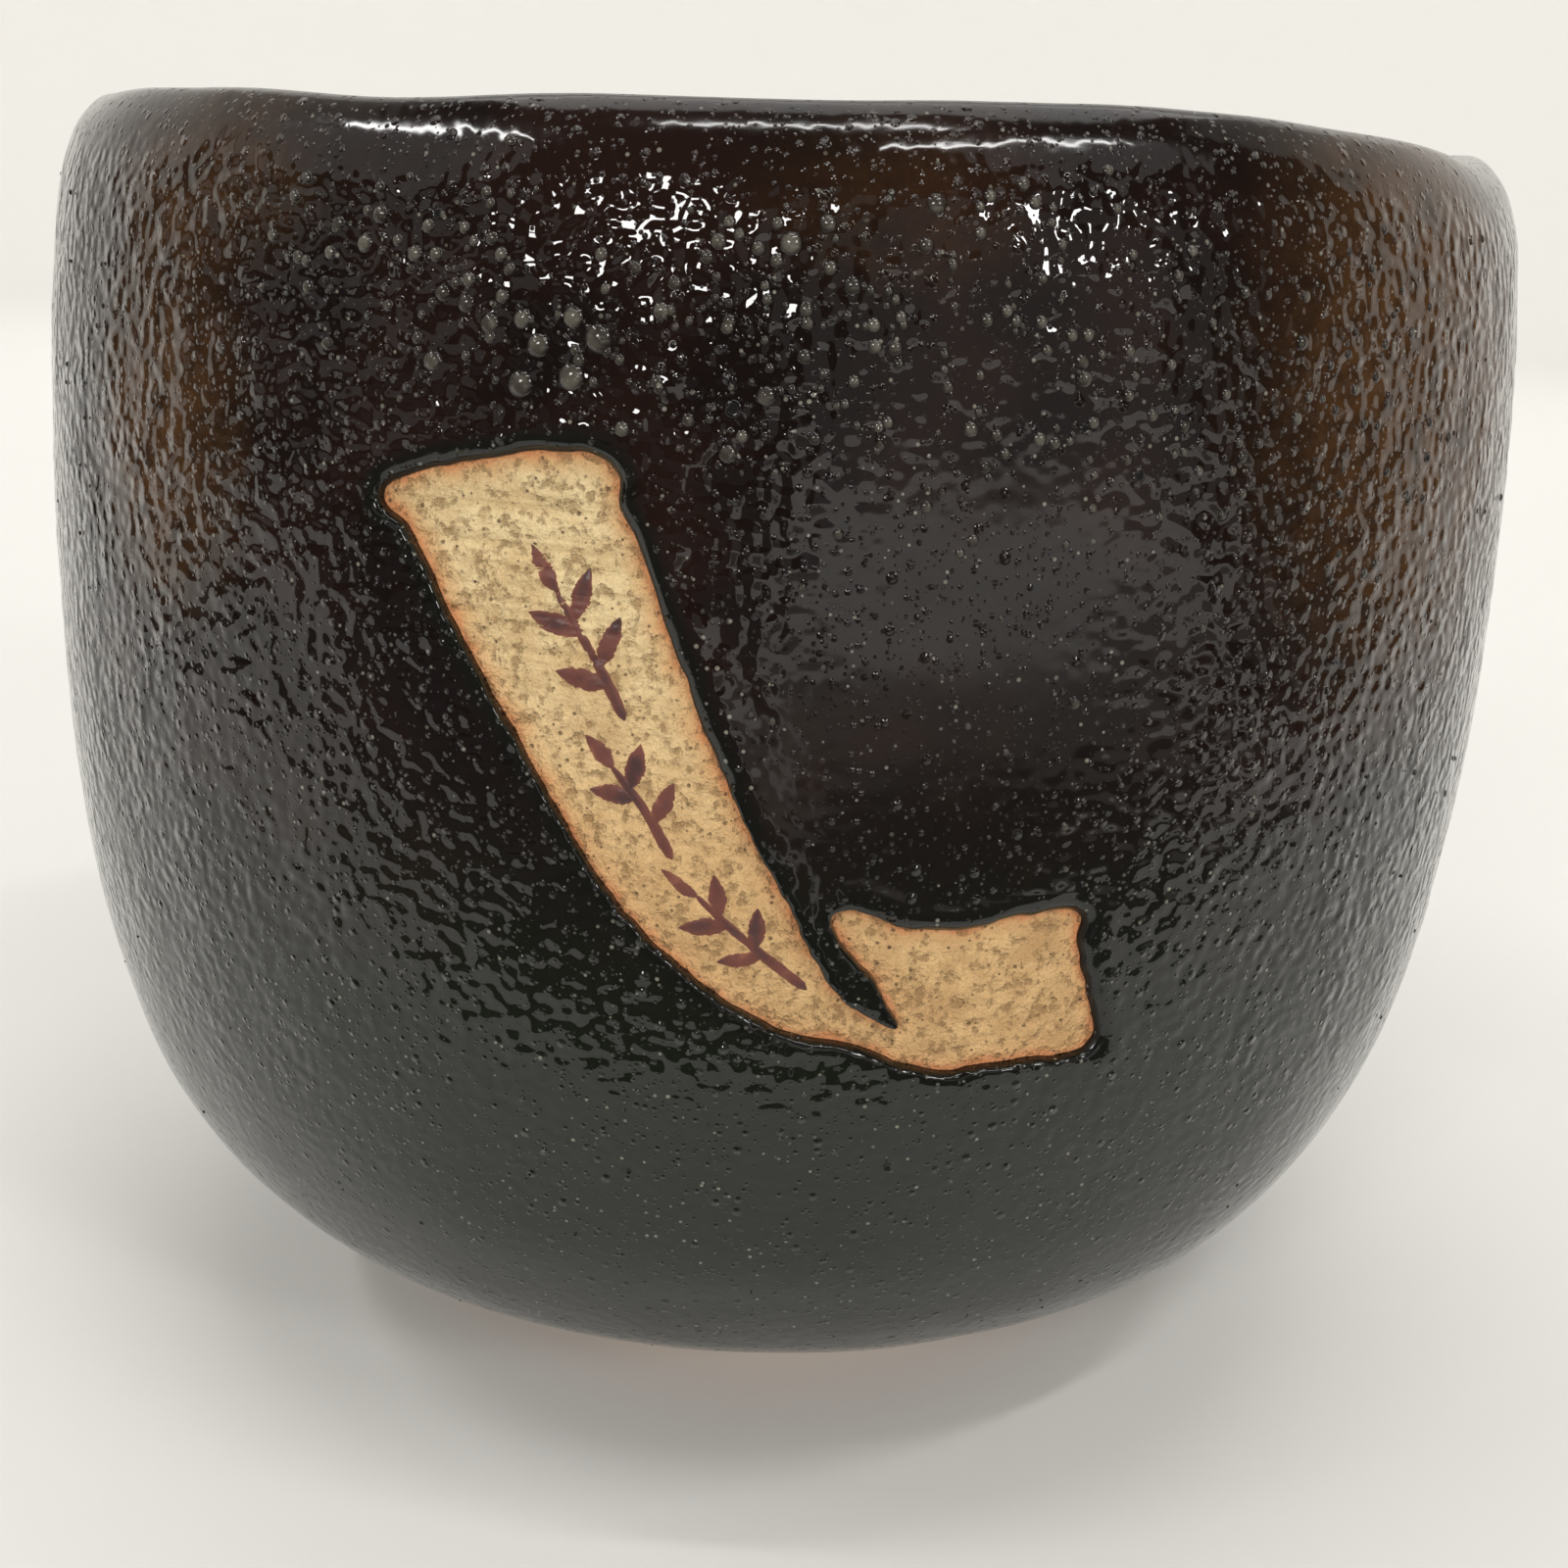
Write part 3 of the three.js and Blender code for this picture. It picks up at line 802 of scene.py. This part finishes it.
def glaze_marks(material):
    """All the blisters and pinholes, each a small closed skin bedded in the outer coat."""
    marks = [(mark, BLISTER_RINGS, BLISTER_STANDS, 0.0) for mark in BLISTERS + scattered_blisters()]
    marks += [(mark, PINHOLE_RINGS, PINHOLE_STANDS, 1.0) for mark in PINHOLES]
    middles = np.array([mark[:2] for mark, *_ in marks], float)
    sheet = to_sheet(middles[:, 0], arc_at_height(middles[:, 1]))
    edge = outline_distance(sheet)
    rough = roughness_of_surface(middles[:, 0], sheet[:, 1], edge)
    reliefs = glaze_relief(on_surface(middles[:, 0], sheet[:, 1], 0), rough)
    places, faces, swollen, pit_painted_shade = [], [], [], []
    count = 0
    for (mark, rings, stands, is_pinhole), clear, relief in zip(marks, edge, reliefs):
        if clear <= WINDOW_CLEARANCE:
            continue
        skin, skin_faces = mark_skin(mark, rings, stands, relief, count)
        places.append(skin)
        faces.append(skin_faces)
        inward = np.append(np.repeat([1 - share for share, _ in rings], MARK_SPOKES), (1, 0))
        grown = min(1, mark[2] / FULL_BLISTER)
        swollen.append(np.clip(inward * 2, 0, 1) * (1 - is_pinhole) * grown)
        # The pinhole's middle, which the glaze material paints black as the shade inside the hole.
        pit_painted_shade.append((inward > PIT_START) * is_pinhole)
        count += len(skin)
    attributes = {
        "edge": np.full(count, 8.0), "rough": np.full(count, 0.1),
        "swollen": np.concatenate(swollen), "pit_painted_shade": np.concatenate(pit_painted_shade),
    }
    groups = [np.concatenate(group) for group in zip(*faces)]
    return make_mesh("glaze_blisters", np.concatenate(places), groups, material, attributes)


# ---- Brushed sprigs ---------------------------------------------------------------------------

STROKE_STEPS = 26
STROKE_ACROSS = np.array([-1, -0.9, -0.7, -0.4, 0, 0.4, 0.7, 0.9, 1])
PAINT_SWELL = 0.11               # how far the middle of a stroke stands out of the clay


def leaf_line(base, tip, width):
    """Centre line and half widths of a leaf, on the flat sheet of azimuth and height."""
    along = np.linspace(0.02, 0.98, STROKE_STEPS)
    bulge = 2 * along * (1 - along)
    line = base + (tip - base) * (LEAF_MIDDLE * bulge + along ** 2)[:, None]
    return line, bulge * width


def stem_line(points):
    along = np.linspace(0, 1, STROKE_STEPS)
    ends = np.sqrt(np.clip(1 - (2 * along - 1) ** 8, 0.02, 1))
    return catmull_rom(points, along), STEM_WIDTH / 2 * (1.15 - 0.5 * along) * ends


def stroke(line, half_width, seed):
    """Places of one brush stroke: its swollen top, its flat underside, and how thick it lies."""
    ahead = np.gradient(line, axis=0)
    ahead /= np.linalg.norm(ahead, axis=1)[:, None]
    side = np.stack([-ahead[:, 1], ahead[:, 0]], axis=1)
    wobble = np.random.default_rng(seed).normal(1, 0.07, (len(line), 2))
    across = STROKE_ACROSS[None, :]
    reach = np.where(across < 0, wobble[:, :1], wobble[:, 1:]) * across * half_width[:, None]
    sheet = line[:, None, :] + side[:, None, :] * reach[..., None]
    azimuth = np.degrees(sheet[..., 0].ravel() / BELLY_RADIUS)
    arc = arc_at_height(sheet[..., 1].ravel())
    full = np.sqrt(1 - np.tile(STROKE_ACROSS, len(line)) ** 2)
    clay = on_surface(azimuth, arc, -CLAY_DEPTH)
    thick = full * (0.75 + 0.5 * noise(clay, 1.3, 41))
    bed = clay_relief(clay, azimuth, section_at(arc)[1]) - CLAY_SINK - CLAY_DEPTH
    top = on_surface(azimuth, arc, bed + PAINT_SWELL * thick - 0.03)
    bottom = on_surface(azimuth, arc, bed - 0.12)
    return top, bottom, thick


def sprig(name, material):
    parts = SPRIGS[name]
    to_mm = (np.radians(1) * BELLY_RADIUS, 1)
    lines = [stem_line(np.array(parts["stem"]) * to_mm)]
    for base, tip, width in parts["leaves"]:
        lines.append(leaf_line(np.array(base) * to_mm, np.array(tip) * to_mm, width))
    places, faces, pool = [], [], []
    rows, columns = STROKE_STEPS, len(STROKE_ACROSS)
    ids = np.arange(rows * columns).reshape(rows, columns)
    under = ids + rows * columns
    rim = np.concatenate([ids[0], ids[1:, -1], ids[-1, -2::-1], ids[-2:0:-1, 0]])
    grid = grid_faces(ids)
    shell = np.concatenate([
        grid, grid[:, ::-1] + rows * columns,
        np.stack([rim, np.roll(rim, -1), np.roll(rim, -1) + under[0, 0], rim + under[0, 0]], -1),
    ])
    for number, (line, half_width) in enumerate(lines):
        top, bottom, thick = stroke(line, half_width, number + len(name))
        faces.append(shell + number * 2 * rows * columns)
        places += [top, bottom]
        pool += [thick, thick]
    attributes = {"pool": np.concatenate(pool)}
    return make_mesh(name + "_paint", np.concatenate(places), faces, material, attributes)


# ---- Materials --------------------------------------------------------------------------------

# Colours are linear. Sizes of textures, distances of bumps and the edge attribute are in
# millimetres. Noise takes its size, then its detail and roughness. Domes take the size of their
# cells, the largest radius as a share of that, and the share of the cells that has one.

class Surface:
    """A material with one shader, and short ways to add the nodes that feed it."""

    def __init__(self, name):
        self.material = bpy.data.materials.new(name)
        self.material.use_nodes = True
        self.tree = self.material.node_tree
        self.tree.nodes.clear()
        output = self.tree.nodes.new("ShaderNodeOutputMaterial")
        self.shader = self.tree.nodes.new("ShaderNodeBsdfPrincipled")
        self.tree.links.new(self.shader.outputs["BSDF"], output.inputs["Surface"])
        self.coords = None

    def set(self, socket, value):
        """A link into one of the shader's sockets, or a fixed value on it."""
        if isinstance(value, (int, float, tuple)):
            self.shader.inputs[socket].default_value = value
        else:
            self.tree.links.new(value, self.shader.inputs[socket])

    def add(self, kind, links=None, inputs=None, **settings):
        """A node with settings on it, links into its inputs, and fixed values of its inputs."""
        node = self.tree.nodes.new("ShaderNode" + kind)
        for key, value in settings.items():
            setattr(node, key, value)
        for key, source in (links or {}).items():
            self.tree.links.new(source, node.inputs[key])
        for key, value in (inputs or {}).items():
            node.inputs[key].default_value = value
        return node

    def use_millimetres(self):
        """Makes object coordinates in millimetres the place of every texture."""
        place = self.add("TexCoord").outputs["Object"]
        scaled = self.add("VectorMath", {0: place}, {"Scale": 1 / MM}, operation="SCALE")
        self.coords = scaled.outputs["Vector"]

    def height(self):
        return self.add("SeparateXYZ", {"Vector": self.coords}).outputs["Z"]

    def attribute(self, name):
        return self.add("Attribute", attribute_name=name).outputs["Fac"]

    def maths(self, operation, *values):
        node = self.add("Math", operation=operation)
        for socket, value in zip(node.inputs, values):
            if isinstance(value, (int, float)):
                socket.default_value = value
            else:
                self.tree.links.new(value, socket)
        return node.outputs[0]

    def remap(self, value, low, high, new_low=0.0, new_high=1.0):
        limits = {"From Min": low, "From Max": high, "To Min": new_low, "To Max": new_high}
        node = self.add("MapRange", {"Value": value}, limits, interpolation_type="SMOOTHSTEP")
        return node.outputs["Result"]

    def noise(self, size, detail=2.0, roughness=0.5, coords=None):
        values = {"Scale": 1 / size, "Detail": detail, "Roughness": roughness}
        return self.add("TexNoise", {"Vector": coords or self.coords}, values).outputs["Fac"]

    def domes(self, size, radius, share):
        """Round bubbles, one in the given share of the cells: height from 0 to 1."""
        cells = self.add("TexVoronoi", {"Vector": self.coords}, {"Scale": 1 / size})
        chosen = self.add("SeparateColor", {"Color": cells.outputs["Color"]})
        present = self.maths("LESS_THAN", chosen.outputs["Red"], share)
        width = self.maths("MULTIPLY_ADD", chosen.outputs["Green"], radius * 0.6, radius * 0.4)
        far = self.maths("DIVIDE", cells.outputs["Distance"], width)
        return self.maths("MULTIPLY", self.remap(far, 1.0, 0.0), present)

    def mix(self, factor, first, second):
        node = self.add("Mix", data_type="RGBA")
        for number, value in ((0, factor), (6, first), (7, second)):
            if isinstance(value, tuple):
                node.inputs[number].default_value = (*value, 1)
            else:
                self.tree.links.new(value, node.inputs[number])
        return node.outputs[2]

    def bump(self, height, distance):
        values = {"Strength": 1, "Distance": distance * MM}
        return self.add("Bump", {"Height": height}, values).outputs["Normal"]


GLAZE_IOR = 1.5


def black_glaze():
    look = Surface("black_glaze")
    look.use_millimetres()
    edge = look.attribute("edge")
    rough = look.attribute("rough")
    clouds = look.remap(look.noise(9, 3), 0.4, 0.7)
    upper = look.mix(clouds, (0.0055, 0.0033, 0.0030), (0.0115, 0.0055, 0.0042))
    base = look.mix(look.remap(look.height(), 36, 58), (0.0055, 0.0072, 0.0042), upper)
    # Brown patches: partly the glaze's own brown, partly painted reflection of brown surroundings.
    mottle = look.remap(look.noise(1.8, 4, 0.6), 0.25, 0.72, 0.25, 1.0)
    brown = look.maths("MULTIPLY", look.attribute("brown"), mottle)
    with_brown_and_reflection = look.mix(brown, base, (0.064, 0.030, 0.011))
    beside_window = look.remap(edge, 1.6, 0.5)
    thick = look.mix(beside_window, with_brown_and_reflection, (0.004, 0.0045, 0.0035))
    grouped = look.remap(look.noise(3.5, 2), 0.35, 0.6, 0.25, 0.9)
    dots = look.remap(look.domes(0.7, 0.3, 0.6), 0.1, 0.6)
    specks = look.maths("MULTIPLY", dots, grouped)
    specked = look.mix(specks, thick, (0.17, 0.163, 0.135))
    cloudy = look.remap(look.noise(1.6, 1), 0.35, 0.65, 0.3, 1.0)
    pale = look.maths("MULTIPLY", look.remap(look.attribute("swollen"), 0.0, 1.0), cloudy)
    blistered = look.mix(pale, specked, (0.088, 0.08, 0.064))
    # Pinholes: the middle is painted near black and matte, as the shade inside the hole.
    pit_painted_shade = look.attribute("pit_painted_shade")
    pitted = look.mix(pit_painted_shade, blistered, (0.002, 0.002, 0.002))
    look.set("Base Color", pitted)
    gloss = look.remap(rough, 0.1, 0.7, 0.13, 0.04)
    dry_edge = look.remap(edge, 0.3, 0.1, 0.0, 0.6)
    dull = look.maths("MAXIMUM", look.maths("MAXIMUM", gloss, pit_painted_shade), dry_edge)
    look.set("Roughness", dull)
    look.set("IOR", GLAZE_IOR)
    small = look.domes(0.6, 0.42, 0.6)
    larger = look.domes(1.15, 0.36, 0.45)
    tiny = look.domes(0.36, 0.4, 0.6)
    waves = look.noise(0.85, 0)
    patches = look.remap(look.noise(5, 2), 0.38, 0.62, 0.55, 1.0)
    wavy = look.maths("MULTIPLY", look.maths("POWER", rough, 1.7), patches)
    studded = look.maths("MULTIPLY_ADD", rough, 0.35, 0.7)
    domes = look.maths("MULTIPLY_ADD", small, 0.6, larger)
    all_domes = look.maths("MULTIPLY_ADD", tiny, 0.22, domes)
    standing = look.maths("MULTIPLY", all_domes, studded)
    height = look.maths("MULTIPLY_ADD", look.maths("MULTIPLY", waves, wavy), 1.7, standing)
    look.set("Normal", look.bump(height, 0.18))
    return look.material


def bare_clay():
    look = Surface("bare_clay")
    look.use_millimetres()
    inside = look.maths("MULTIPLY", look.attribute("edge"), -1.0)
    wander = look.maths("MULTIPLY_ADD", look.noise(1.6, 3), 1.2, inside)
    blotch = look.remap(look.noise(2.8, 5, 0.7), 0.36, 0.66)
    pale = look.mix(blotch, (0.67, 0.52, 0.285), (0.56, 0.40, 0.20))
    warm = look.mix(blotch, (0.60, 0.39, 0.18), (0.45, 0.27, 0.115))
    buff = look.mix(look.remap(look.height(), 47, 66), warm, pale)
    level_grain = {1: (0.35, 0.35, 3.2)}
    stretch = look.add("VectorMath", {0: look.coords}, level_grain, operation="MULTIPLY")
    fibres = look.remap(look.noise(0.9, 3, coords=stretch.outputs["Vector"]), 0.52, 0.72, 0, 0.3)
    fibrous = look.mix(fibres, buff, (0.37, 0.25, 0.115))
    soft_flash = look.mix(look.remap(wander, 2.2, 0.7), fibrous, (0.57, 0.33, 0.145))
    hot_flash = look.mix(look.remap(wander, 1.2, 0.5), soft_flash, (0.53, 0.215, 0.085))
    grains = look.domes(0.4, 0.42, 0.2)
    specked = look.mix(look.remap(grains, 0.1, 0.6, 0.0, 0.75), hot_flash, (0.20, 0.12, 0.055))
    smudge = look.remap(look.noise(0.75, 3, 0.65), 0.5, 0.68, 0.0, 0.7)
    smudged = look.mix(smudge, specked, (0.26, 0.145, 0.055))
    dark = look.domes(1.3, 0.15, 0.35)
    final = look.mix(look.remap(dark, 0.1, 0.5, 0.0, 0.9), smudged, (0.07, 0.035, 0.02))
    look.set("Base Color", final)
    look.set("Roughness", 0.85)
    sandy = look.noise(0.8, 3, 0.65)
    pitted = look.maths("MULTIPLY_ADD", smudge, -0.35, sandy)
    pits = look.maths("MULTIPLY_ADD", grains, -0.4, pitted)
    look.set("Normal", look.bump(pits, 0.62))
    return look.material


def iron_pigment():
    look = Surface("iron_pigment")
    look.use_millimetres()
    uneven = look.noise(0.7, 3)
    depth = look.maths("MULTIPLY_ADD", uneven, 0.7, look.attribute("pool"))
    thin = look.mix(look.remap(depth, 0.35, 0.8), (0.30, 0.11, 0.06), (0.135, 0.038, 0.025))
    deep = look.mix(look.remap(depth, 0.85, 1.35), thin, (0.066, 0.030, 0.029))
    look.set("Base Color", deep)
    gloss = look.remap(depth, 0.5, 1.3, 0.7, 0.34)
    look.set("Roughness", gloss)
    look.set("Normal", look.bump(look.noise(0.22, 3), 0.04))
    return look.material


def cloth_white():
    look = Surface("pale_floor")
    look.set("Base Color", (0.82, 0.812, 0.79, 1))
    look.set("Roughness", 0.9)
    return look.material


def card_material(name, shade):
    look = Surface(name)
    look.set("Base Color", (shade, 0.95 * shade, 0.88 * shade, 1))
    look.set("Roughness", 1)
    return look.material


# ---- Stage, lights and camera -----------------------------------------------------------------

FLOOR_LEVEL = -0.03              # a hair under the foot, so the two never share a plane
FLOOR_RADIUS = 1200.0
COVE = 500.0                     # radius of the bend from the floor to the wall
WALL_TOP = 2400.0
BACK_SECTOR = (100.0, 260.0)     # azimuths of the part of the wall that reflections show


def cove_wall(name, start, end, material):
    """A sector of the pale wall that rises all round the floor in one bend."""
    bend = np.linspace(0, np.pi / 2, 20)
    radii = np.append(FLOOR_RADIUS + COVE * np.sin(bend), FLOOR_RADIUS + COVE)
    heights = np.append(FLOOR_LEVEL + COVE * (1 - np.cos(bend)), WALL_TOP)
    angles = np.radians(np.linspace(start, end, 60))
    radius, angle = (part.ravel() for part in np.meshgrid(radii, angles, indexing="ij"))
    height = np.repeat(heights, len(angles))
    places = np.stack([radius * np.sin(angle), -radius * np.cos(angle), height], axis=1)
    ids = np.arange(len(places)).reshape(len(radii), -1)
    wall = make_mesh(name, places, [grid_faces(ids)], material)
    return wall


def floor_and_walls(material):
    """A round pale floor with a wall all round. The wall's front half stays out of reflections."""
    angles = np.linspace(0, 2 * np.pi, 180, endpoint=False)
    rim = FLOOR_RADIUS * np.stack([np.sin(angles), -np.cos(angles), 0 * angles], axis=1)
    rim[:, 2] = FLOOR_LEVEL
    floor = make_mesh("studio_floor", rim, [np.arange(len(rim))[None, :]], material)
    start, end = BACK_SECTOR
    cove_wall("studio_back_wall", start, end, material)
    front = cove_wall("studio_front_wall", end - 360, start, material)
    front.visible_glossy = False


FLAG_HEIGHT = 1.0
GREY_FLAG = [
    (15, -225), (110, -212), (165, -185), (205, -110), (250, -60), (340, -110), (300, -260),
    (160, -340), (10, -360),
]
FLAGS = {
    "flag_left": [
        (-1500, -650), (-300, -150), (-115, -118), (-36, -98), (20, -94), (0, -300), (-30, -1500),
    ],
    "flag_front": [(20, -94), (110, -92), (150, -75), (205, -110), (165, -185), (110, -212), (15, -225)],
    "flag_right_side": [(210, -75), (235, -35), (420, 0), (1500, 100), (1500, -600)],
    "flag_left_side": [(-1500, 250), (-340, 25), (-345, -75), (-1500, -300)],
}
LAMP_COLOUR = (1, 0.99, 0.97)
MIDDLE = (0, 0, 0.05)


def direction(azimuth, elevation):
    around, up = np.radians((azimuth, elevation))
    return Vector((np.sin(around) * np.cos(up), -np.cos(around) * np.cos(up), np.sin(up)))


def aimed(thing, azimuth, elevation, distance, target):
    """Places a thing at a direction from the target, with its -Z side facing the target."""
    away = direction(azimuth, elevation)
    thing.location = Vector(target) + away * distance
    thing.rotation_euler = away.to_track_quat("Z", "Y").to_euler()
    bpy.context.collection.objects.link(thing)


def soft_box(name, azimuth, elevation, wide, tall, radiance, distance=1.5, target=MIDDLE):
    """A lamp that covers so many degrees, seen from the bowl, at an even brightness."""
    data = bpy.data.lights.new(name, "AREA")
    data.shape = "RECTANGLE"
    data.size = 2 * distance * np.tan(np.radians(wide / 2))
    data.size_y = 2 * distance * np.tan(np.radians(tall / 2))
    data.energy = radiance * np.pi * data.size * data.size_y
    data.color = LAMP_COLOUR
    lamp = bpy.data.objects.new(name, data)
    lamp.visible_camera = False
    aimed(lamp, azimuth, elevation, distance, target)


def flag(name, corners, material):
    """A card over the floor that only reflections show: it keeps light out of them."""
    places = np.array([(x, y, FLAG_HEIGHT) for x, y in corners], float)
    card = make_mesh(name, places, [np.arange(len(corners))[None, :]], material)
    for kind in ("camera", "diffuse", "shadow", "transmission", "volume_scatter"):
        setattr(card, "visible_" + kind, False)


def set_world(colour, strength):
    world = bpy.data.worlds.new("studio")
    world.use_nodes = True
    background = world.node_tree.nodes["Background"]
    background.inputs["Color"].default_value = (*colour, 1)
    background.inputs["Strength"].default_value = strength
    bpy.context.scene.world = world


def camera():
    """Just under the lip's height, close to the bowl, looking down and rolled a little."""
    place = Vector((6.4, -155.0, 86.0)) * MM
    pitch, yaw, roll = np.radians((17.0, -1.8, 2.6))
    forward = Vector((np.sin(yaw) * np.cos(pitch), np.cos(yaw) * np.cos(pitch), -np.sin(pitch)))
    level = Vector((np.cos(yaw), -np.sin(yaw), 0))
    upward = level.cross(forward)
    right = level * np.cos(roll) + upward * np.sin(roll)
    up = upward * np.cos(roll) - level * np.sin(roll)
    data = bpy.data.cameras.new("camera")
    data.sensor_width = 36
    data.lens = 45
    data.clip_start = 0.005
    eye = bpy.data.objects.new("camera", data)
    turn = Matrix((right, up, -forward)).transposed()
    eye.matrix_world = Matrix.Translation(place) @ turn.to_4x4()
    bpy.context.collection.objects.link(eye)
    bpy.context.scene.camera = eye


camera()
set_world((1, 0.82, 0.62), 0.055)
soft_box("lamp_left", -19, 24, 14, 8, 25)
soft_box("lamp_right", 44, 24, 8, 8, 29)
soft_box("tube_left", -76, 52, 28, 1.8, 30)
soft_box("tube_right", 42, 57, 30, 2.2, 27)
soft_box("tube_middle", 0, 78, 26, 2, 26)
soft_box("top_light", 178, 70, 50, 36, 1.45)
soft_box("fill_right", 34, 10, 58, 40, 0.25, 0.9)
soft_box("fill_left", -62, 14, 55, 14, 0.35, 0.9)
soft_box("sheen_right", 55, 48, 34, 16, 0.55)
soft_box("sheen_left", -74, 38, 40, 20, 0.5)
soft_box("back_light", 178, 40, 60, 24, 0.35)
soft_box("backdrop_light", 0, 45, 90, 50, 0.68, 0.9, (0, 1.4, 0.15))
bpy.context.scene.view_settings.view_transform = "Standard"

GLAZE_MATERIAL = black_glaze()
CLAY_MATERIAL = bare_clay()
PAINT_MATERIAL = iron_pigment()
floor_and_walls(cloth_white())
flag("flag_grey", GREY_FLAG, card_material("grey_card", 0.27))
DARK_CARD = card_material("dark_card", 0.06)
for name, corners in FLAGS.items():
    flag(name, corners, DARK_CARD)
put_on(outer_coat(GLAZE_MATERIAL), "black_glaze", "outer_glaze")
put_on(inner_coat(GLAZE_MATERIAL), "black_glaze", "inner_glaze")
put_on(clay_body(CLAY_MATERIAL), "bare_clay", "clay_body")
put_on(clay_foot(CLAY_MATERIAL), "bare_clay", "foot_ring")
put_on(glaze_marks(GLAZE_MATERIAL), "black_glaze")
for name in SPRIGS:
    put_on(sprig(name, PAINT_MATERIAL), "iron_pigment", name)
